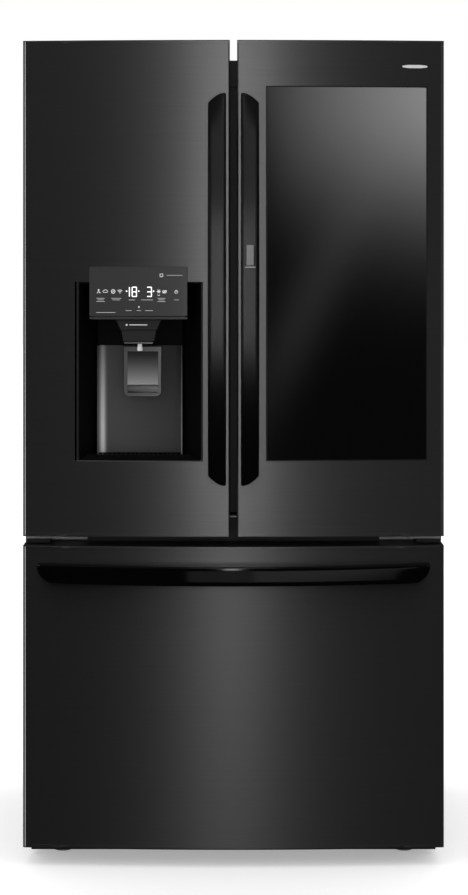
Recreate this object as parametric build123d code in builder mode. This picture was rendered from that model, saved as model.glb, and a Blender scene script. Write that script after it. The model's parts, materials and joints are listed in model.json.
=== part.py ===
"""French door refrigerator with a door-in-door window panel, a door dispenser and a bottom freezer drawer.

Units are millimetres. +Z is up, the front faces -Y and +X is to the right of someone facing it.
The origin is on the floor, under the centre of the overall box.
"""

import os
from math import cos, radians, sin, sqrt

from build123d import *

os.makedirs("parts", exist_ok=True)

# ---------------------------------------------------------------- driving dimensions
DOOR_HALF = 456  # half the width across both doors
CAB_HALF = 454  # half the cabinet's width
GAP_HALF = 8  # half the gap between the two doors
CAB_TOP = 1753
DOOR_TOP = 1787
DOOR_BOTTOM = 714
DRAWER_TOP = 694
DRAWER_BOTTOM = 40

Y_REAR = 398  # rear cover's outer face
Y_CAB = -236  # cabinet's front face
Y_BACK = -248  # back plane of the doors and the drawer
Y_EDGE = -320  # front of the doors at their outer edges
BOW = 20  # how far the fronts bulge at the middle
Y_APEX = Y_EDGE - BOW
HANDLE_PROUD = 58

SHEET = 2  # painted steel sheet
LINER = 3  # moulded inner walls
CORNER = 3  # radius of the fronts' vertical edges

BOW_RADIUS = (DOOR_HALF**2 + BOW**2) / (2 * BOW)

# fresh food and freezer compartments, inside faces of their liners
CAVITY_HALF = 410
CAVITY_BACK = 330
FRESH_FLOOR = 748
FRESH_TOP = 1703
FREEZER_FLOOR = 110
FREEZER_TOP = 672
FREEZER_BACK = 310
STEP_Y = 150  # the freezer's lower part is shallower, to leave room for the machine compartment
STEP_Z = 340

# hinge pins of the two doors and of the window door that the right one carries
PIN_X = 437
PIN_Y = -262
PIN_R = 6
PIN_FIT = 0.4
SUB_PIN_X = 446
SUB_PIN_Y = -304
SUB_PIN_R = 4
NOTCH_X = 372  # the doors' top corners are cut away behind their fronts, for the hinge arms
NOTCH_Z = 1748
NOTCH_Y = -309

# window door and the frame behind it
SUB_BACK = -282
FRAME_FRONT = -276
CASE_BACK = -130
CASE = (66, 402, 760, 1690)  # x0, x1, z0, z1 of the storage case's outside
CASE_WALL = 12
GLASS = (70, 420, 878, 1688)

# dispenser
DISP_X = -205
RECESS_HALF = 135
RECESS = (882, 1262)  # z of its floor and ceiling
RECESS_BACK = -262
PANEL_HALF = 106
PANEL = (1184, 1298)

TRAVEL = 430  # freezer drawer


# ---------------------------------------------------------------- helpers
def slab(x0, x1, y0, y1, z0, z1, mode=Mode.ADD):
    """A block between two corners, in the open part."""
    with Locations(((x0 + x1) / 2, (y0 + y1) / 2, (z0 + z1) / 2)):
        Box(x1 - x0, y1 - y0, z1 - z0, mode=mode)


def rod(radius, start, length, axis="Z", mode=Mode.ADD):
    """A round bar from a start point along an axis, in the open part."""
    turn = {"Z": (0, 0, 0), "X": (0, 90, 0), "Y": (-90, 0, 0)}[axis]
    with Locations(Location(start, turn)):
        Cylinder(radius, length, align=(Align.CENTER, Align.CENTER, Align.MIN), mode=mode)


def front_y(x, inset=0):
    """Y of the bowed front at x, or of a surface that lies inset behind it."""
    radius = BOW_RADIUS - inset
    return Y_APEX + inset + radius - sqrt(radius**2 - x**2)


def front_block(x0, x1, y_back, z0, z1, inset=0, corner=0, mode=Mode.ADD):
    """A block of a door between x0 and x1, from its bowed front to y_back, in the open part."""
    left, right, middle = front_y(x0, inset), front_y(x1, inset), (x0 + x1) / 2
    with BuildSketch(Plane.XY.offset(z0)) as plan:
        with BuildLine():
            Line((x0, y_back), (x0, left))
            ThreePointArc((x0, left), (middle, front_y(middle, inset)), (x1, right))
            Line((x1, right), (x1, y_back))
            Line((x1, y_back), (x0, y_back))
        make_face()
        if corner:
            fillet(plan.vertices().filter_by(lambda v: v.Y < y_back - 1), corner)
    extrude(plan.sketch, amount=z1 - z0, mode=mode)


def ring(x0, x1, y0, y1, z0, z1, width):
    """A rectangular ring that stands upright, such as a gasket, in the open part."""
    slab(x0, x1, y0, y1, z0, z1)
    slab(x0 + width, x1 - width, y0 - 1, y1 + 1, z0 + width, z1 - width, Mode.SUBTRACT)


def tub(x0, x1, y0, y1, z0, z1, wall, corner=8):
    """An open-topped bin with rounded upright edges, in the open part."""
    with BuildSketch(Plane.XY.offset(z0)) as outside:
        with Locations(((x0 + x1) / 2, (y0 + y1) / 2)):
            RectangleRounded(x1 - x0, y1 - y0, corner)
    extrude(outside.sketch, amount=z1 - z0)
    with BuildSketch(Plane.XY.offset(z0 + wall)) as inside:
        with Locations(((x0 + x1) / 2, (y0 + y1) / 2)):
            RectangleRounded(x1 - x0 - 2 * wall, y1 - y0 - 2 * wall, max(corner - wall, 1))
    extrude(inside.sketch, amount=z1 - z0, mode=Mode.SUBTRACT)


def hinge_notch(side, mode=Mode.SUBTRACT):
    """Clears a door's top corner behind its front, where side is 1 for the right one."""
    x0, x1 = sorted((side * NOTCH_X, side * (DOOR_HALF + 10)))
    slab(x0, x1, NOTCH_Y, Y_BACK + 10, NOTCH_Z, DOOR_TOP + 10, mode)


def pin_holes(side, x=PIN_X, y=PIN_Y, radius=PIN_R + PIN_FIT):
    """Blind holes for a door's lower and upper hinge pins."""
    rod(radius, (side * x, y, DOOR_BOTTOM - 1), 24, mode=Mode.SUBTRACT)
    rod(radius, (side * x, y, NOTCH_Z - 22), 23, mode=Mode.SUBTRACT)


def block_of(x0, x1, y0, y1, z0, z1):
    """A plain block, for frames and moulded pieces that are built up from several."""
    with BuildPart() as block:
        slab(x0, x1, y0, y1, z0, z1)
    return block.part


def mirrored(x0, x1):
    """The spans of x from x0 to x1 on the right and on the left."""
    return ((x0, x1), (-x1, -x0))


def group(label, pieces):
    """Several solids that share one node."""
    return Compound(label=label, children=pieces)


def save(shape, label):
    shape.label = label
    export_step(shape, f"parts/{label}.step")


# ---------------------------------------------------------------- cabinet shell and insulation
BASE_TOP = 66
LINER_OUT = CAVITY_HALF + LINER
MULLION = (FREEZER_TOP + LINER, FRESH_FLOOR - LINER)
INNER_HALF = CAB_HALF - SHEET
Y_FOAM = Y_CAB + SHEET
Y_FOAM_BACK = Y_REAR - SHEET

with BuildPart() as outer_shell:
    slab(-CAB_HALF, CAB_HALF, Y_CAB, Y_REAR - SHEET, BASE_TOP - 36, CAB_TOP)
    slab(
        -CAB_HALF + SHEET, CAB_HALF - SHEET, Y_CAB + SHEET, Y_REAR, BASE_TOP - 40, CAB_TOP - SHEET,
        Mode.SUBTRACT,
    )
    slab(
        -LINER_OUT, LINER_OUT, Y_CAB - 1, Y_FOAM + 1, FREEZER_FLOOR - LINER, FRESH_TOP + LINER,
        Mode.SUBTRACT,
    )
    slab(-INNER_HALF, INNER_HALF, Y_CAB - 1, Y_FOAM + 1, 20, BASE_TOP - 3, Mode.SUBTRACT)
save(outer_shell.part, "outer_shell")

MACHINE_FRONT = 190
MACHINE_TOP = 303
LOUVRES = 9
VALVE_X, VALVE_Z = 340, 120  # water valve's inlet
SPIGOT_R = 9
GLAND_X, GLAND_Z = 396, 120  # mains cable's gland
GLAND_R = 12


def louvres(count, x0, x1, z0, pitch, height, y0, y1):
    """Rows of ventilation slots, cut from the open part."""
    for row in range(count):
        z = z0 + row * pitch
        slab(x0, x1, y0, y1, z, z + height, Mode.SUBTRACT)


with BuildPart() as rear_panel:
    slab(-CAB_HALF, CAB_HALF, Y_REAR - SHEET, Y_REAR, MACHINE_TOP + 1, CAB_TOP)
with BuildPart() as machine_cover:
    slab(-CAB_HALF, CAB_HALF, Y_REAR - SHEET, Y_REAR, 34, MACHINE_TOP)
    for column in range(4):
        left = -400 + column * 145
        louvres(LOUVRES, left, left + 120, 80, 22, 7, Y_REAR - SHEET - 1, Y_REAR + 1)
    rod(GLAND_R + 0.5, (GLAND_X, Y_REAR - SHEET - 1, GLAND_Z), SHEET + 2, "Y", Mode.SUBTRACT)
    rod(SPIGOT_R + 0.5, (VALVE_X, Y_REAR - SHEET - 1, VALVE_Z), SHEET + 2, "Y", Mode.SUBTRACT)
save(group("rear_cover", [rear_panel.part, machine_cover.part]), "rear_cover")

foam = [
    block_of(-INNER_HALF, -LINER_OUT, Y_FOAM, Y_FOAM_BACK, BASE_TOP, CAB_TOP - SHEET),
    block_of(LINER_OUT, INNER_HALF, Y_FOAM, Y_FOAM_BACK, BASE_TOP, CAB_TOP - SHEET),
    block_of(-LINER_OUT, LINER_OUT, Y_FOAM, Y_FOAM_BACK, FRESH_TOP + LINER, CAB_TOP - SHEET),
    block_of(-LINER_OUT, LINER_OUT, CAVITY_BACK + LINER, Y_FOAM_BACK, MULLION[1], FRESH_TOP + LINER),
    block_of(-LINER_OUT, LINER_OUT, Y_FOAM, Y_FOAM_BACK, *MULLION),
    block_of(-LINER_OUT, LINER_OUT, FREEZER_BACK + LINER, Y_FOAM_BACK, STEP_Z - LINER, MULLION[0]),
    block_of(-LINER_OUT, LINER_OUT, STEP_Y + LINER, Y_FOAM_BACK, MACHINE_TOP, STEP_Z - LINER),
    block_of(-LINER_OUT, LINER_OUT, STEP_Y + LINER, MACHINE_FRONT, BASE_TOP, MACHINE_TOP),
    block_of(-LINER_OUT, LINER_OUT, Y_FOAM, STEP_Y + LINER, BASE_TOP, FREEZER_FLOOR - LINER),
]
save(group("cabinet_insulation", foam), "cabinet_insulation")

# ---------------------------------------------------------------- inner liners
LINER_RADIUS = 12
SHELF_LEVELS = (992, 1140, 1330, 1520)  # the lowest one covers the crispers
SHELF_FRONT, SHELF_BACK = -112, 300

with BuildPart() as room:
    slab(-CAVITY_HALF, CAVITY_HALF, Y_CAB - 5, CAVITY_BACK, FRESH_FLOOR, FRESH_TOP)
    fillet(room.edges().filter_by(Axis.Y), LINER_RADIUS)
    fillet(room.faces().sort_by(Axis.Y)[-1].edges(), LINER_RADIUS)

with BuildPart() as fresh_food_liner:
    slab(-LINER_OUT, LINER_OUT, Y_CAB, CAVITY_BACK + LINER, FRESH_FLOOR - LINER, FRESH_TOP + LINER)
    add(room.part, mode=Mode.SUBTRACT)
    for level in SHELF_LEVELS:  # ribs on the side walls that carry the shelves
        for side in (-1, 1):
            x0, x1 = sorted((side * (CAVITY_HALF - 6), side * CAVITY_HALF))
            slab(x0, x1, SHELF_FRONT, SHELF_BACK, level - 16, level - 8)
save(fresh_food_liner.part, "fresh_food_liner")

with BuildPart() as freezer_liner:
    with BuildSketch(Plane.YZ.offset(-LINER_OUT)):
        with BuildLine():
            Polyline(
                (Y_CAB, FREEZER_FLOOR - LINER), (STEP_Y + LINER, FREEZER_FLOOR - LINER),
                (STEP_Y + LINER, STEP_Z - LINER), (FREEZER_BACK + LINER, STEP_Z - LINER),
                (FREEZER_BACK + LINER, FREEZER_TOP + LINER), (Y_CAB, FREEZER_TOP + LINER), close=True,
            )
        make_face()
    extrude(amount=2 * LINER_OUT)
    with BuildSketch(Plane.YZ.offset(-CAVITY_HALF)) as hollow:
        with BuildLine():
            Polyline(
                (Y_CAB - 5, FREEZER_FLOOR), (STEP_Y, FREEZER_FLOOR), (STEP_Y, STEP_Z),
                (FREEZER_BACK, STEP_Z), (FREEZER_BACK, FREEZER_TOP), (Y_CAB - 5, FREEZER_TOP), close=True,
            )
        make_face()
        fillet(hollow.vertices().filter_by(lambda v: v.Y > Y_CAB), LINER_RADIUS)
    extrude(amount=2 * CAVITY_HALF, mode=Mode.SUBTRACT)
save(freezer_liner.part, "freezer_liner")

# ---------------------------------------------------------------- base, feet and rollers
RAIL_IN = 404
ROLLER_R = 18
ROLLER_Y = 335
FOOT_X = 380
FOOT_Y = -185

RAIL_LOW, RAIL_HIGH = 32, BASE_TOP - 3
RAIL_OUT = 449  # inner face of the outer rails
MEMBER = 3  # thickness of the frame's sheet
AXLE_R = 3
EAR_IN, EAR_OUT = 407, 432  # inner faces of the ears beside each roller


def nut_plate(side):
    """Plate on the frame's floor that a front foot screws into."""
    with BuildPart() as plate:
        slab(side * FOOT_X - 24, side * FOOT_X + 24, FOOT_Y - 24, FOOT_Y + 24, RAIL_LOW, RAIL_LOW + 8)
        rod(6.6, (side * FOOT_X, FOOT_Y, RAIL_LOW - 2), 12, mode=Mode.SUBTRACT)
    return plate.part


def roller_ear(x0):
    """Ear that carries one end of a roller's axle."""
    with BuildPart() as ear:
        slab(x0, x0 + MEMBER, ROLLER_Y - 14, ROLLER_Y + 14, 9, RAIL_HIGH)
        rod(AXLE_R + 0.2, (x0 - 1, ROLLER_Y, ROLLER_R), MEMBER + 2, "X", Mode.SUBTRACT)
    return ear.part


members = [block_of(-INNER_HALF, INNER_HALF, Y_FOAM, MACHINE_FRONT, RAIL_HIGH, BASE_TOP)]
members.append(block_of(-RAIL_IN, RAIL_IN, MACHINE_FRONT, Y_FOAM_BACK, RAIL_LOW, RAIL_LOW + MEMBER))
for x0, x1 in mirrored(RAIL_IN, RAIL_IN + MEMBER) + mirrored(RAIL_OUT, INNER_HALF):
    members.append(block_of(x0, x1, Y_FOAM, Y_FOAM_BACK, RAIL_LOW, RAIL_HIGH))
for x0, x1 in mirrored(LINER_OUT, INNER_HALF):
    members.append(block_of(x0, x1, MACHINE_FRONT, Y_FOAM_BACK, RAIL_HIGH, BASE_TOP))
for y0 in (Y_FOAM, MACHINE_FRONT - MEMBER, Y_FOAM_BACK - MEMBER):
    low = RAIL_LOW + MEMBER if y0 > MACHINE_FRONT else RAIL_LOW
    members.append(block_of(-RAIL_IN, RAIL_IN, y0, y0 + MEMBER, low, RAIL_HIGH))
    for x0, x1 in mirrored(RAIL_IN + MEMBER, RAIL_OUT):
        members.append(block_of(x0, x1, y0, y0 + MEMBER, RAIL_LOW, RAIL_HIGH))
members += [nut_plate(side) for side in (-1, 1)]
for x0, _ in mirrored(EAR_IN, EAR_IN + MEMBER) + mirrored(EAR_OUT, EAR_OUT + MEMBER):
    members.append(roller_ear(x0))


def axle(side):
    with BuildPart() as pin:
        x0, x1 = sorted((side * EAR_IN, side * (EAR_OUT + MEMBER + 3)))
        rod(AXLE_R, (x0, ROLLER_Y, ROLLER_R), x1 - x0, "X")
    return pin.part


save(group("base_frame", members + [axle(-1), axle(1)]), "base_frame")


def foot(side):
    with BuildPart() as leg:
        rod(20, (side * FOOT_X, FOOT_Y, 0), 8)
        chamfer(leg.edges().group_by(Axis.Z)[-1], 2)
        with BuildSketch(Plane.XY.offset(8)):
            with Locations((side * FOOT_X, FOOT_Y)):
                RegularPolygon(11, 6)
        extrude(amount=10)
        rod(6, (side * FOOT_X, FOOT_Y, 18), 36)
    return leg.part


save(group("leveling_feet", [foot(-1), foot(1)]), "leveling_feet")


def roller(side):
    with BuildPart() as wheel:
        rod(ROLLER_R, (side * 421 - 10, ROLLER_Y, ROLLER_R), 20, "X")
        fillet(wheel.edges(), 1.5)
        rod(3.1, (side * 421 - 11, ROLLER_Y, ROLLER_R), 22, "X", Mode.SUBTRACT)
    return wheel.part


save(group("rear_rollers", [roller(-1), roller(1)]), "rear_rollers")

KICK_HALF = 446
with BuildPart() as kick_panel:
    slab(-KICK_HALF, KICK_HALF, Y_CAB, Y_CAB + SHEET, 12, 60)
    for column in range(24):
        left = -414 + column * 35
        louvres(2, left, left + 24, 17, 9, 4, Y_CAB - 1, Y_CAB + SHEET + 1)
returns = [block_of(x0, x1, Y_CAB + SHEET, Y_CAB + 30, 12, 31) for x0, x1 in mirrored(KICK_HALF - 3, KICK_HALF)]
save(group("kick_plate", [kick_panel.part, *returns]), "kick_plate")

# ---------------------------------------------------------------- machine compartment
COMP_X, COMP_Y = -270, 293


def compressor_shape():
    with BuildPart() as shell:
        with BuildSketch(Plane.XY.offset(60)):
            with Locations((COMP_X, COMP_Y)):
                Ellipse(105, 82)
        extrude(amount=150)
        fillet(shell.edges().group_by(Axis.Z)[-1], 45)
        fillet(shell.edges().group_by(Axis.Z)[0], 20)
        slab(COMP_X - 110, COMP_X + 110, COMP_Y - 60, COMP_Y + 60, 48, 52)
        for dx in (-90, 90):
            for dy in (-45, 45):
                rod(12, (COMP_X + dx, COMP_Y + dy, 35), 13)
        rod(14, (COMP_X, COMP_Y, 50), 20)
        rod(4, (COMP_X + 40, COMP_Y, 150), 110)
        rod(4, (COMP_X - 40, COMP_Y, 150), 110)
    return shell.part


save(compressor_shape(), "compressor")

FAN_X = -95  # condenser fan, blowing along X between the condenser and the compressor
FAN_Z = 165
FAN_Y = 294

COIL_FRONT = 215
CARRIER = (35, 262)  # z of the carrier plate

TUBE_R = 4
TUBES = [(y, 80 + 38 * row) for y in (240, 290, 340) for row in range(5)]


def condenser_fin(x):
    """A thin plate with a hole for each tube."""
    with BuildPart() as fin:
        slab(x, x + 2, COIL_FRONT, 373, 60, 250)
        for y, z in TUBES:
            rod(TUBE_R + 0.1, (x - 1, y, z), 4, "X", Mode.SUBTRACT)
    return fin.part


def condenser_tube(y, z):
    with BuildPart() as tube:
        rod(TUBE_R, (15, y, z), 265, "X")
    return tube.part


coil = [condenser_fin(20 + 22 * index) for index in range(12)]
coil += [condenser_tube(y, z) for y, z in TUBES]
with BuildPart() as fan_plate:
    slab(FAN_X + 22, FAN_X + 26, COIL_FRONT, 376, *CARRIER)
    rod(80, (FAN_X + 20, FAN_Y, FAN_Z), 8, "X", Mode.SUBTRACT)
    slab(FAN_X + 22, FAN_X + 26, FAN_Y - 3, FAN_Y + 3, FAN_Z - 82, FAN_Z + 82)
with BuildPart() as fan_motor:
    rod(18, (FAN_X + 26, FAN_Y, FAN_Z), 16, "X")
carrier = block_of(FAN_X + 22, 290, COIL_FRONT - 3, COIL_FRONT, *CARRIER)
save(group("condenser", [*coil, carrier, fan_plate.part, fan_motor.part]), "condenser")


def fan(centre, radius, hub, depth, axis, blades, label):
    """An axial fan that reaches depth along +X or +Y from its centre, with pitched plates as blades."""
    along = Vector(1, 0, 0) if axis == "X" else Vector(0, 1, 0)
    up, across = Vector(0, 0, 1), along.cross(Vector(0, 0, 1))
    with BuildPart() as wheel:
        rod(hub, centre, depth, axis)
        for blade in range(blades):
            turn = radians(blade * 360 / blades)
            outward = up * cos(turn) + across * sin(turn)
            root = Vector(*centre) + outward * (hub - 3) + along * (depth / 2)
            with BuildSketch(Plane(root, x_dir=along, z_dir=outward)) as blade_plan:
                with Locations(Location((0, 0), 52)):
                    RectangleRounded(radius * 0.42, 2.5, 1)
            extrude(blade_plan.sketch, amount=radius - hub + 3)
    save(wheel.part, label)


fan((FAN_X, FAN_Y, FAN_Z), 74, 22, 20, "X", 5, "condenser_fan")

# ---------------------------------------------------------------- freezer's rear cover and fan
EVAP_FAN_Z = 618

COVER_HALF, COVER_Y, COVER = 398, 254, (354, 666)

with BuildPart() as cover_plate:
    slab(-COVER_HALF, COVER_HALF, COVER_Y, COVER_Y + 4, *COVER)
    for column in range(3):
        left = -60 + column * 42
        louvres(6, left, left + 36, 588, 11, 5, COVER_Y - 1, COVER_Y + 5)
    for column in range(9):
        left = -340 + column * 76
        louvres(3, left, left + 60, 372, 14, 6, COVER_Y - 1, COVER_Y + 5)
with BuildPart() as evaporator_motor:
    rod(13, (0, 290, EVAP_FAN_Z), 14, "Y")
cover_pieces = [cover_plate.part, evaporator_motor.part]
for x0, x1 in mirrored(COVER_HALF - 4, COVER_HALF):
    cover_pieces.append(block_of(x0, x1, COVER_Y + 4, 304, *COVER))
cover_pieces += [  # stay that carries the fan's motor
    block_of(-3, 3, 286, 290, 566, 664),
    block_of(-3, 3, COVER_Y + 4, 290, 664, 668),
    block_of(-3, 3, COVER_Y + 4, 290, 562, 566),
]
save(group("evaporator_cover", cover_pieces), "evaporator_cover")

fan((0, 266, EVAP_FAN_Z), 42, 14, 16, "Y", 5, "evaporator_fan")


# ---------------------------------------------------------------- rear connectors
with BuildPart() as water_inlet_valve:
    slab(VALVE_X - 26, VALVE_X + 26, Y_REAR - 66, Y_REAR - 20, VALVE_Z - 18, VALVE_Z + 18)
    rod(SPIGOT_R, (VALVE_X, Y_REAR - 20, VALVE_Z), 20, "Y")
    rod(3.2, (VALVE_X, Y_REAR - 15, VALVE_Z), 16, "Y", Mode.SUBTRACT)
    rod(15, (VALVE_X - 8, Y_REAR - 44, VALVE_Z + 18), 26)
    for leg in (-26, 22):
        slab(VALVE_X + leg, VALVE_X + leg + 4, Y_REAR - 66, Y_REAR - 20, 35, VALVE_Z - 18)
save(water_inlet_valve.part, "water_inlet_valve")

with BuildPart() as power_inlet:
    rod(GLAND_R, (GLAND_X, Y_REAR - 16, GLAND_Z), 16, "Y")
    rod(GLAND_R + 3, (GLAND_X, Y_REAR - 8, GLAND_Z), 6, "Y")
    rod(4.5, (GLAND_X, Y_REAR - 17, GLAND_Z), 18, "Y", Mode.SUBTRACT)
save(power_inlet.part, "power_inlet")

# ---------------------------------------------------------------- hinges fixed to the cabinet
with BuildPart() as center_rail:
    slab(-LINER_OUT, LINER_OUT, Y_CAB, Y_FOAM, *MULLION)
save(center_rail.part, "center_rail")


def top_hinge(side):
    """Arm on the cabinet's top, with the pin that a door's top turns on."""
    with BuildPart() as arm:
        with BuildSketch(Plane.XY.offset(CAB_TOP)):
            with Locations((side * PIN_X, PIN_Y)):
                Circle(13)
            with Locations((side * 425, (PIN_Y - 138) / 2)):
                Rectangle(50, -138 - PIN_Y)
        extrude(amount=6)
        rod(PIN_R, (side * PIN_X, PIN_Y, NOTCH_Z - 21), CAB_TOP - NOTCH_Z + 22)
        for x, y in ((412, -214), (438, -214), (412, -156), (438, -156)):
            with BuildSketch(Plane.XY.offset(CAB_TOP + 6)):
                with Locations((side * x, y)):
                    RegularPolygon(6.5, 6)
            extrude(amount=4)
    return arm.part


def middle_hinge(side):
    """Bracket on the rail between the compartments, with the pin that a door stands on."""
    x0, x1 = sorted((side * 322, side * 450))
    arm0, arm1 = sorted((side * 402, side * 450))
    with BuildPart() as bracket:
        slab(x0, x1, Y_CAB - 5, Y_CAB, 697, 711)
        slab(arm0, arm1, PIN_Y, Y_CAB - 5, 699, 705)
        rod(13, (side * PIN_X, PIN_Y, 699), 6)
        rod(PIN_R, (side * PIN_X, PIN_Y, 705), DOOR_BOTTOM + 21 - 705)
        for x in (334, 356, 378):
            with BuildSketch(Plane.XZ.offset(-(Y_CAB - 5))):
                with Locations((side * x, 704)):
                    RegularPolygon(5.5, 6)
            extrude(amount=3)
    return bracket.part


def top_hinge_cover(side):
    x0, x1 = sorted((side * 390, side * CAB_HALF))
    with BuildPart() as cover:
        slab(x0, x1, -296, -124, CAB_TOP, CAB_TOP + 31)
        fillet(cover.edges().filter_by(Axis.Z), 8)
        fillet(cover.edges().group_by(Axis.Z)[-1], 5)
        slab(x0 + 2.5, x1 - 2.5, -293.5, -126.5, CAB_TOP - 1, CAB_TOP + 28.5, Mode.SUBTRACT)
    return cover.part


def middle_hinge_cover(side):
    x0, x1 = sorted((side * 397, side * 453))
    with BuildPart() as cover:
        slab(x0, x1, -292, Y_CAB - 5, 697, 711)
        fillet(cover.edges().filter_by(Axis.Z).group_by(Axis.Y)[0], 4)
        slab(x0 + 2.5, x1 - 2.5, -278, Y_CAB - 4, 696, 706, Mode.SUBTRACT)
        rod(PIN_R + 1, (side * PIN_X, PIN_Y, 700), 20, mode=Mode.SUBTRACT)
    return cover.part


brackets = [f(side) for f in (top_hinge, middle_hinge) for side in (-1, 1)]
save(group("hinge_brackets", brackets), "hinge_brackets")
covers = [f(side) for f in (top_hinge_cover, middle_hinge_cover) for side in (-1, 1)]
save(group("hinge_covers", covers), "hinge_covers")


# ---------------------------------------------------------------- inside the fresh food compartment
GLASS_HALF = 398
GLASS_Y = (SHELF_FRONT + 14, SHELF_BACK - 12)


def shelf_frame(level):
    """The four members round a shelf's glass, the front one with rounded edges."""
    low, high = level - 8, level + 2
    with BuildPart() as front:
        slab(-409, 409, SHELF_FRONT, GLASS_Y[0], low, high)
        fillet(front.edges().filter_by(Axis.X).group_by(Axis.Y)[0], 3)
    sides = [block_of(x0, x1, *GLASS_Y, low, high) for x0, x1 in mirrored(GLASS_HALF, 409)]
    return [front.part, block_of(-409, 409, GLASS_Y[1], SHELF_BACK, low, high), *sides]


def shelf_glass(level):
    with BuildPart() as pane:
        slab(-GLASS_HALF, GLASS_HALF, *GLASS_Y, level - 3, level + 1)
    return pane.part


frame_members = [member for level in SHELF_LEVELS for member in shelf_frame(level)]
save(group("shelf_frames", frame_members), "shelf_frames")
save(group("glass_shelves", [shelf_glass(level) for level in SHELF_LEVELS]), "glass_shelves")


def crisper(side):
    x0, x1 = sorted((side * 4, side * 400))
    with BuildPart() as bin_:
        tub(x0, x1, SHELF_FRONT + 6, SHELF_BACK - 10, 752, 968, 3, 10)
        middle = (x0 + x1) / 2
        slab(middle - 90, middle + 90, SHELF_FRONT - 6, SHELF_FRONT + 6, 950, 968)
        slab(middle - 87, middle + 87, SHELF_FRONT - 3, SHELF_FRONT + 6, 949, 964, Mode.SUBTRACT)
    return bin_.part


save(group("crisper_drawers", [crisper(-1), crisper(1)]), "crisper_drawers")

with BuildPart() as interior_light:
    slab(-130, 130, -70, 60, FRESH_TOP - 7, FRESH_TOP)
    fillet(interior_light.edges().filter_by(Axis.Z), 12)
    fillet(interior_light.edges().group_by(Axis.Z)[0], 3)
save(interior_light.part, "interior_light")

# ---------------------------------------------------------------- left door
SKIN = 1.5
CAP = 7
REAR_PLATE = 3
LOOSE = 0.3  # clearance around the insulation


def skin(x0, x1, y_back, z0, z1):
    """Bowed sheet that wraps round a door's upright edges, in the open part."""
    front_block(x0, x1, y_back, z0 + CAP, z1 - CAP, 0, CORNER)
    front_block(
        x0 + SKIN, x1 - SKIN, y_back + 1, z0, z1, SKIN, CORNER - SKIN, Mode.SUBTRACT,
    )


def cap(x0, x1, y_back, z0, side):
    """Moulded end of a door, CAP high from z0."""
    with BuildPart() as end:
        front_block(x0, x1, y_back, z0, z0 + CAP, 0, CORNER)
        if side:
            hinge_notch(side)
            pin_holes(side)
    return end.part


def core(x0, x1, z0, z1, y_back, side=0):
    """One convex block of a door's insulation."""
    with BuildPart() as block:
        front_block(x0, x1, y_back, z0, z1, SKIN + LOOSE, CORNER - SKIN)
        if side:
            pin_holes(side)
    return block.part


LEFT = (-DOOR_HALF, -GAP_HALF)
REC_X0, REC_X1 = DISP_X - RECESS_HALF, DISP_X + RECESS_HALF
WALL = 3  # of the dispenser's recess
IN_X0, IN_X1 = LEFT[0] + SKIN + LOOSE, LEFT[1] - SKIN - LOOSE
CORE_BACK = Y_BACK - REAR_PLATE

with BuildPart() as left_door_skin:
    skin(*LEFT, Y_BACK, DOOR_BOTTOM, DOOR_TOP)
    slab(
        REC_X0 - WALL, REC_X1 + WALL, Y_APEX - 5, RECESS_BACK, RECESS[0] - WALL, RECESS[1] + WALL,
        Mode.SUBTRACT,
    )
    hinge_notch(-1)
save(left_door_skin.part, "left_door_skin")

caps = [cap(*LEFT, Y_BACK, z, -1) for z in (DOOR_BOTTOM, DOOR_TOP - CAP)]
save(group("left_door_caps", caps), "left_door_caps")

Z_IN0, Z_IN1 = DOOR_BOTTOM + CAP, DOOR_TOP - CAP
RIGHT_OF = REC_X1 + WALL + 1
LEFT_OF = REC_X0 - WALL - 1
OVER = RECESS[1] + WALL + 1
UNDER = RECESS[0] - WALL - 1

blocks = [
    core(IN_X0, IN_X1, OVER, NOTCH_Z, CORE_BACK, -1),
    core(-NOTCH_X, IN_X1, NOTCH_Z, Z_IN1, CORE_BACK),
    core(IN_X0, -NOTCH_X, NOTCH_Z, Z_IN1, NOTCH_Y - 1),
    core(IN_X0, LEFT_OF, UNDER, OVER, CORE_BACK),
    core(RIGHT_OF, IN_X1, UNDER, OVER, CORE_BACK),
    core(IN_X0, IN_X1, Z_IN0, UNDER, CORE_BACK, -1),
    block_of(LEFT_OF, RIGHT_OF, RECESS_BACK + WALL, CORE_BACK, UNDER, OVER),
]
save(group("left_door_insulation", blocks), "left_door_insulation")

FLAP_PIVOT = (-33, -236)
FLAP = (756, 1694)
RIB = (-404, -64)  # outer faces of the upright ribs that hold the bins
RIB_T = 12


def flap_ear(z_plate, z_pin):
    """Ear beside the gap with the pin that the folding flap turns on."""
    with BuildPart() as ear:
        slab(FLAP_PIVOT[0] - 4, FLAP_PIVOT[0] + 2.8, Y_BACK, FLAP_PIVOT[1] + 5, z_plate, z_plate + 5)
        rod(2, (*FLAP_PIVOT, z_pin), 15)
    return ear.part


pieces = [
    block_of(IN_X0, IN_X1, CORE_BACK, Y_BACK, Z_IN0, NOTCH_Z),
    block_of(-NOTCH_X, IN_X1, CORE_BACK, Y_BACK, NOTCH_Z, Z_IN1),
    block_of(RIB[0], RIB[0] + RIB_T, Y_BACK, -200, 762, 1690),
    block_of(RIB[1] - RIB_T, RIB[1], Y_BACK, -200, 762, 1690),
    block_of(RIB[0] + RIB_T, RIB[1] - RIB_T, Y_BACK, -200, 762, 762 + RIB_T),
    block_of(RIB[0] + RIB_T, RIB[1] - RIB_T, Y_BACK, -200, 1690 - RIB_T, 1690),
    flap_ear(FLAP[0] - 6, FLAP[0] - 6),
    flap_ear(FLAP[1] + 1, FLAP[1] - 9),
]
save(group("left_door_liner", pieces), "left_door_liner")

SEAL = 18  # width of a gasket
SEAL_OUT = 436
SEAL_IN = 12
SEAL_Z = (728, 1724)

with BuildPart() as left_door_gasket:
    ring(-SEAL_OUT, -SEAL_IN, Y_BACK, Y_CAB, *SEAL_Z, SEAL)
save(left_door_gasket.part, "left_door_gasket")


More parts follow.
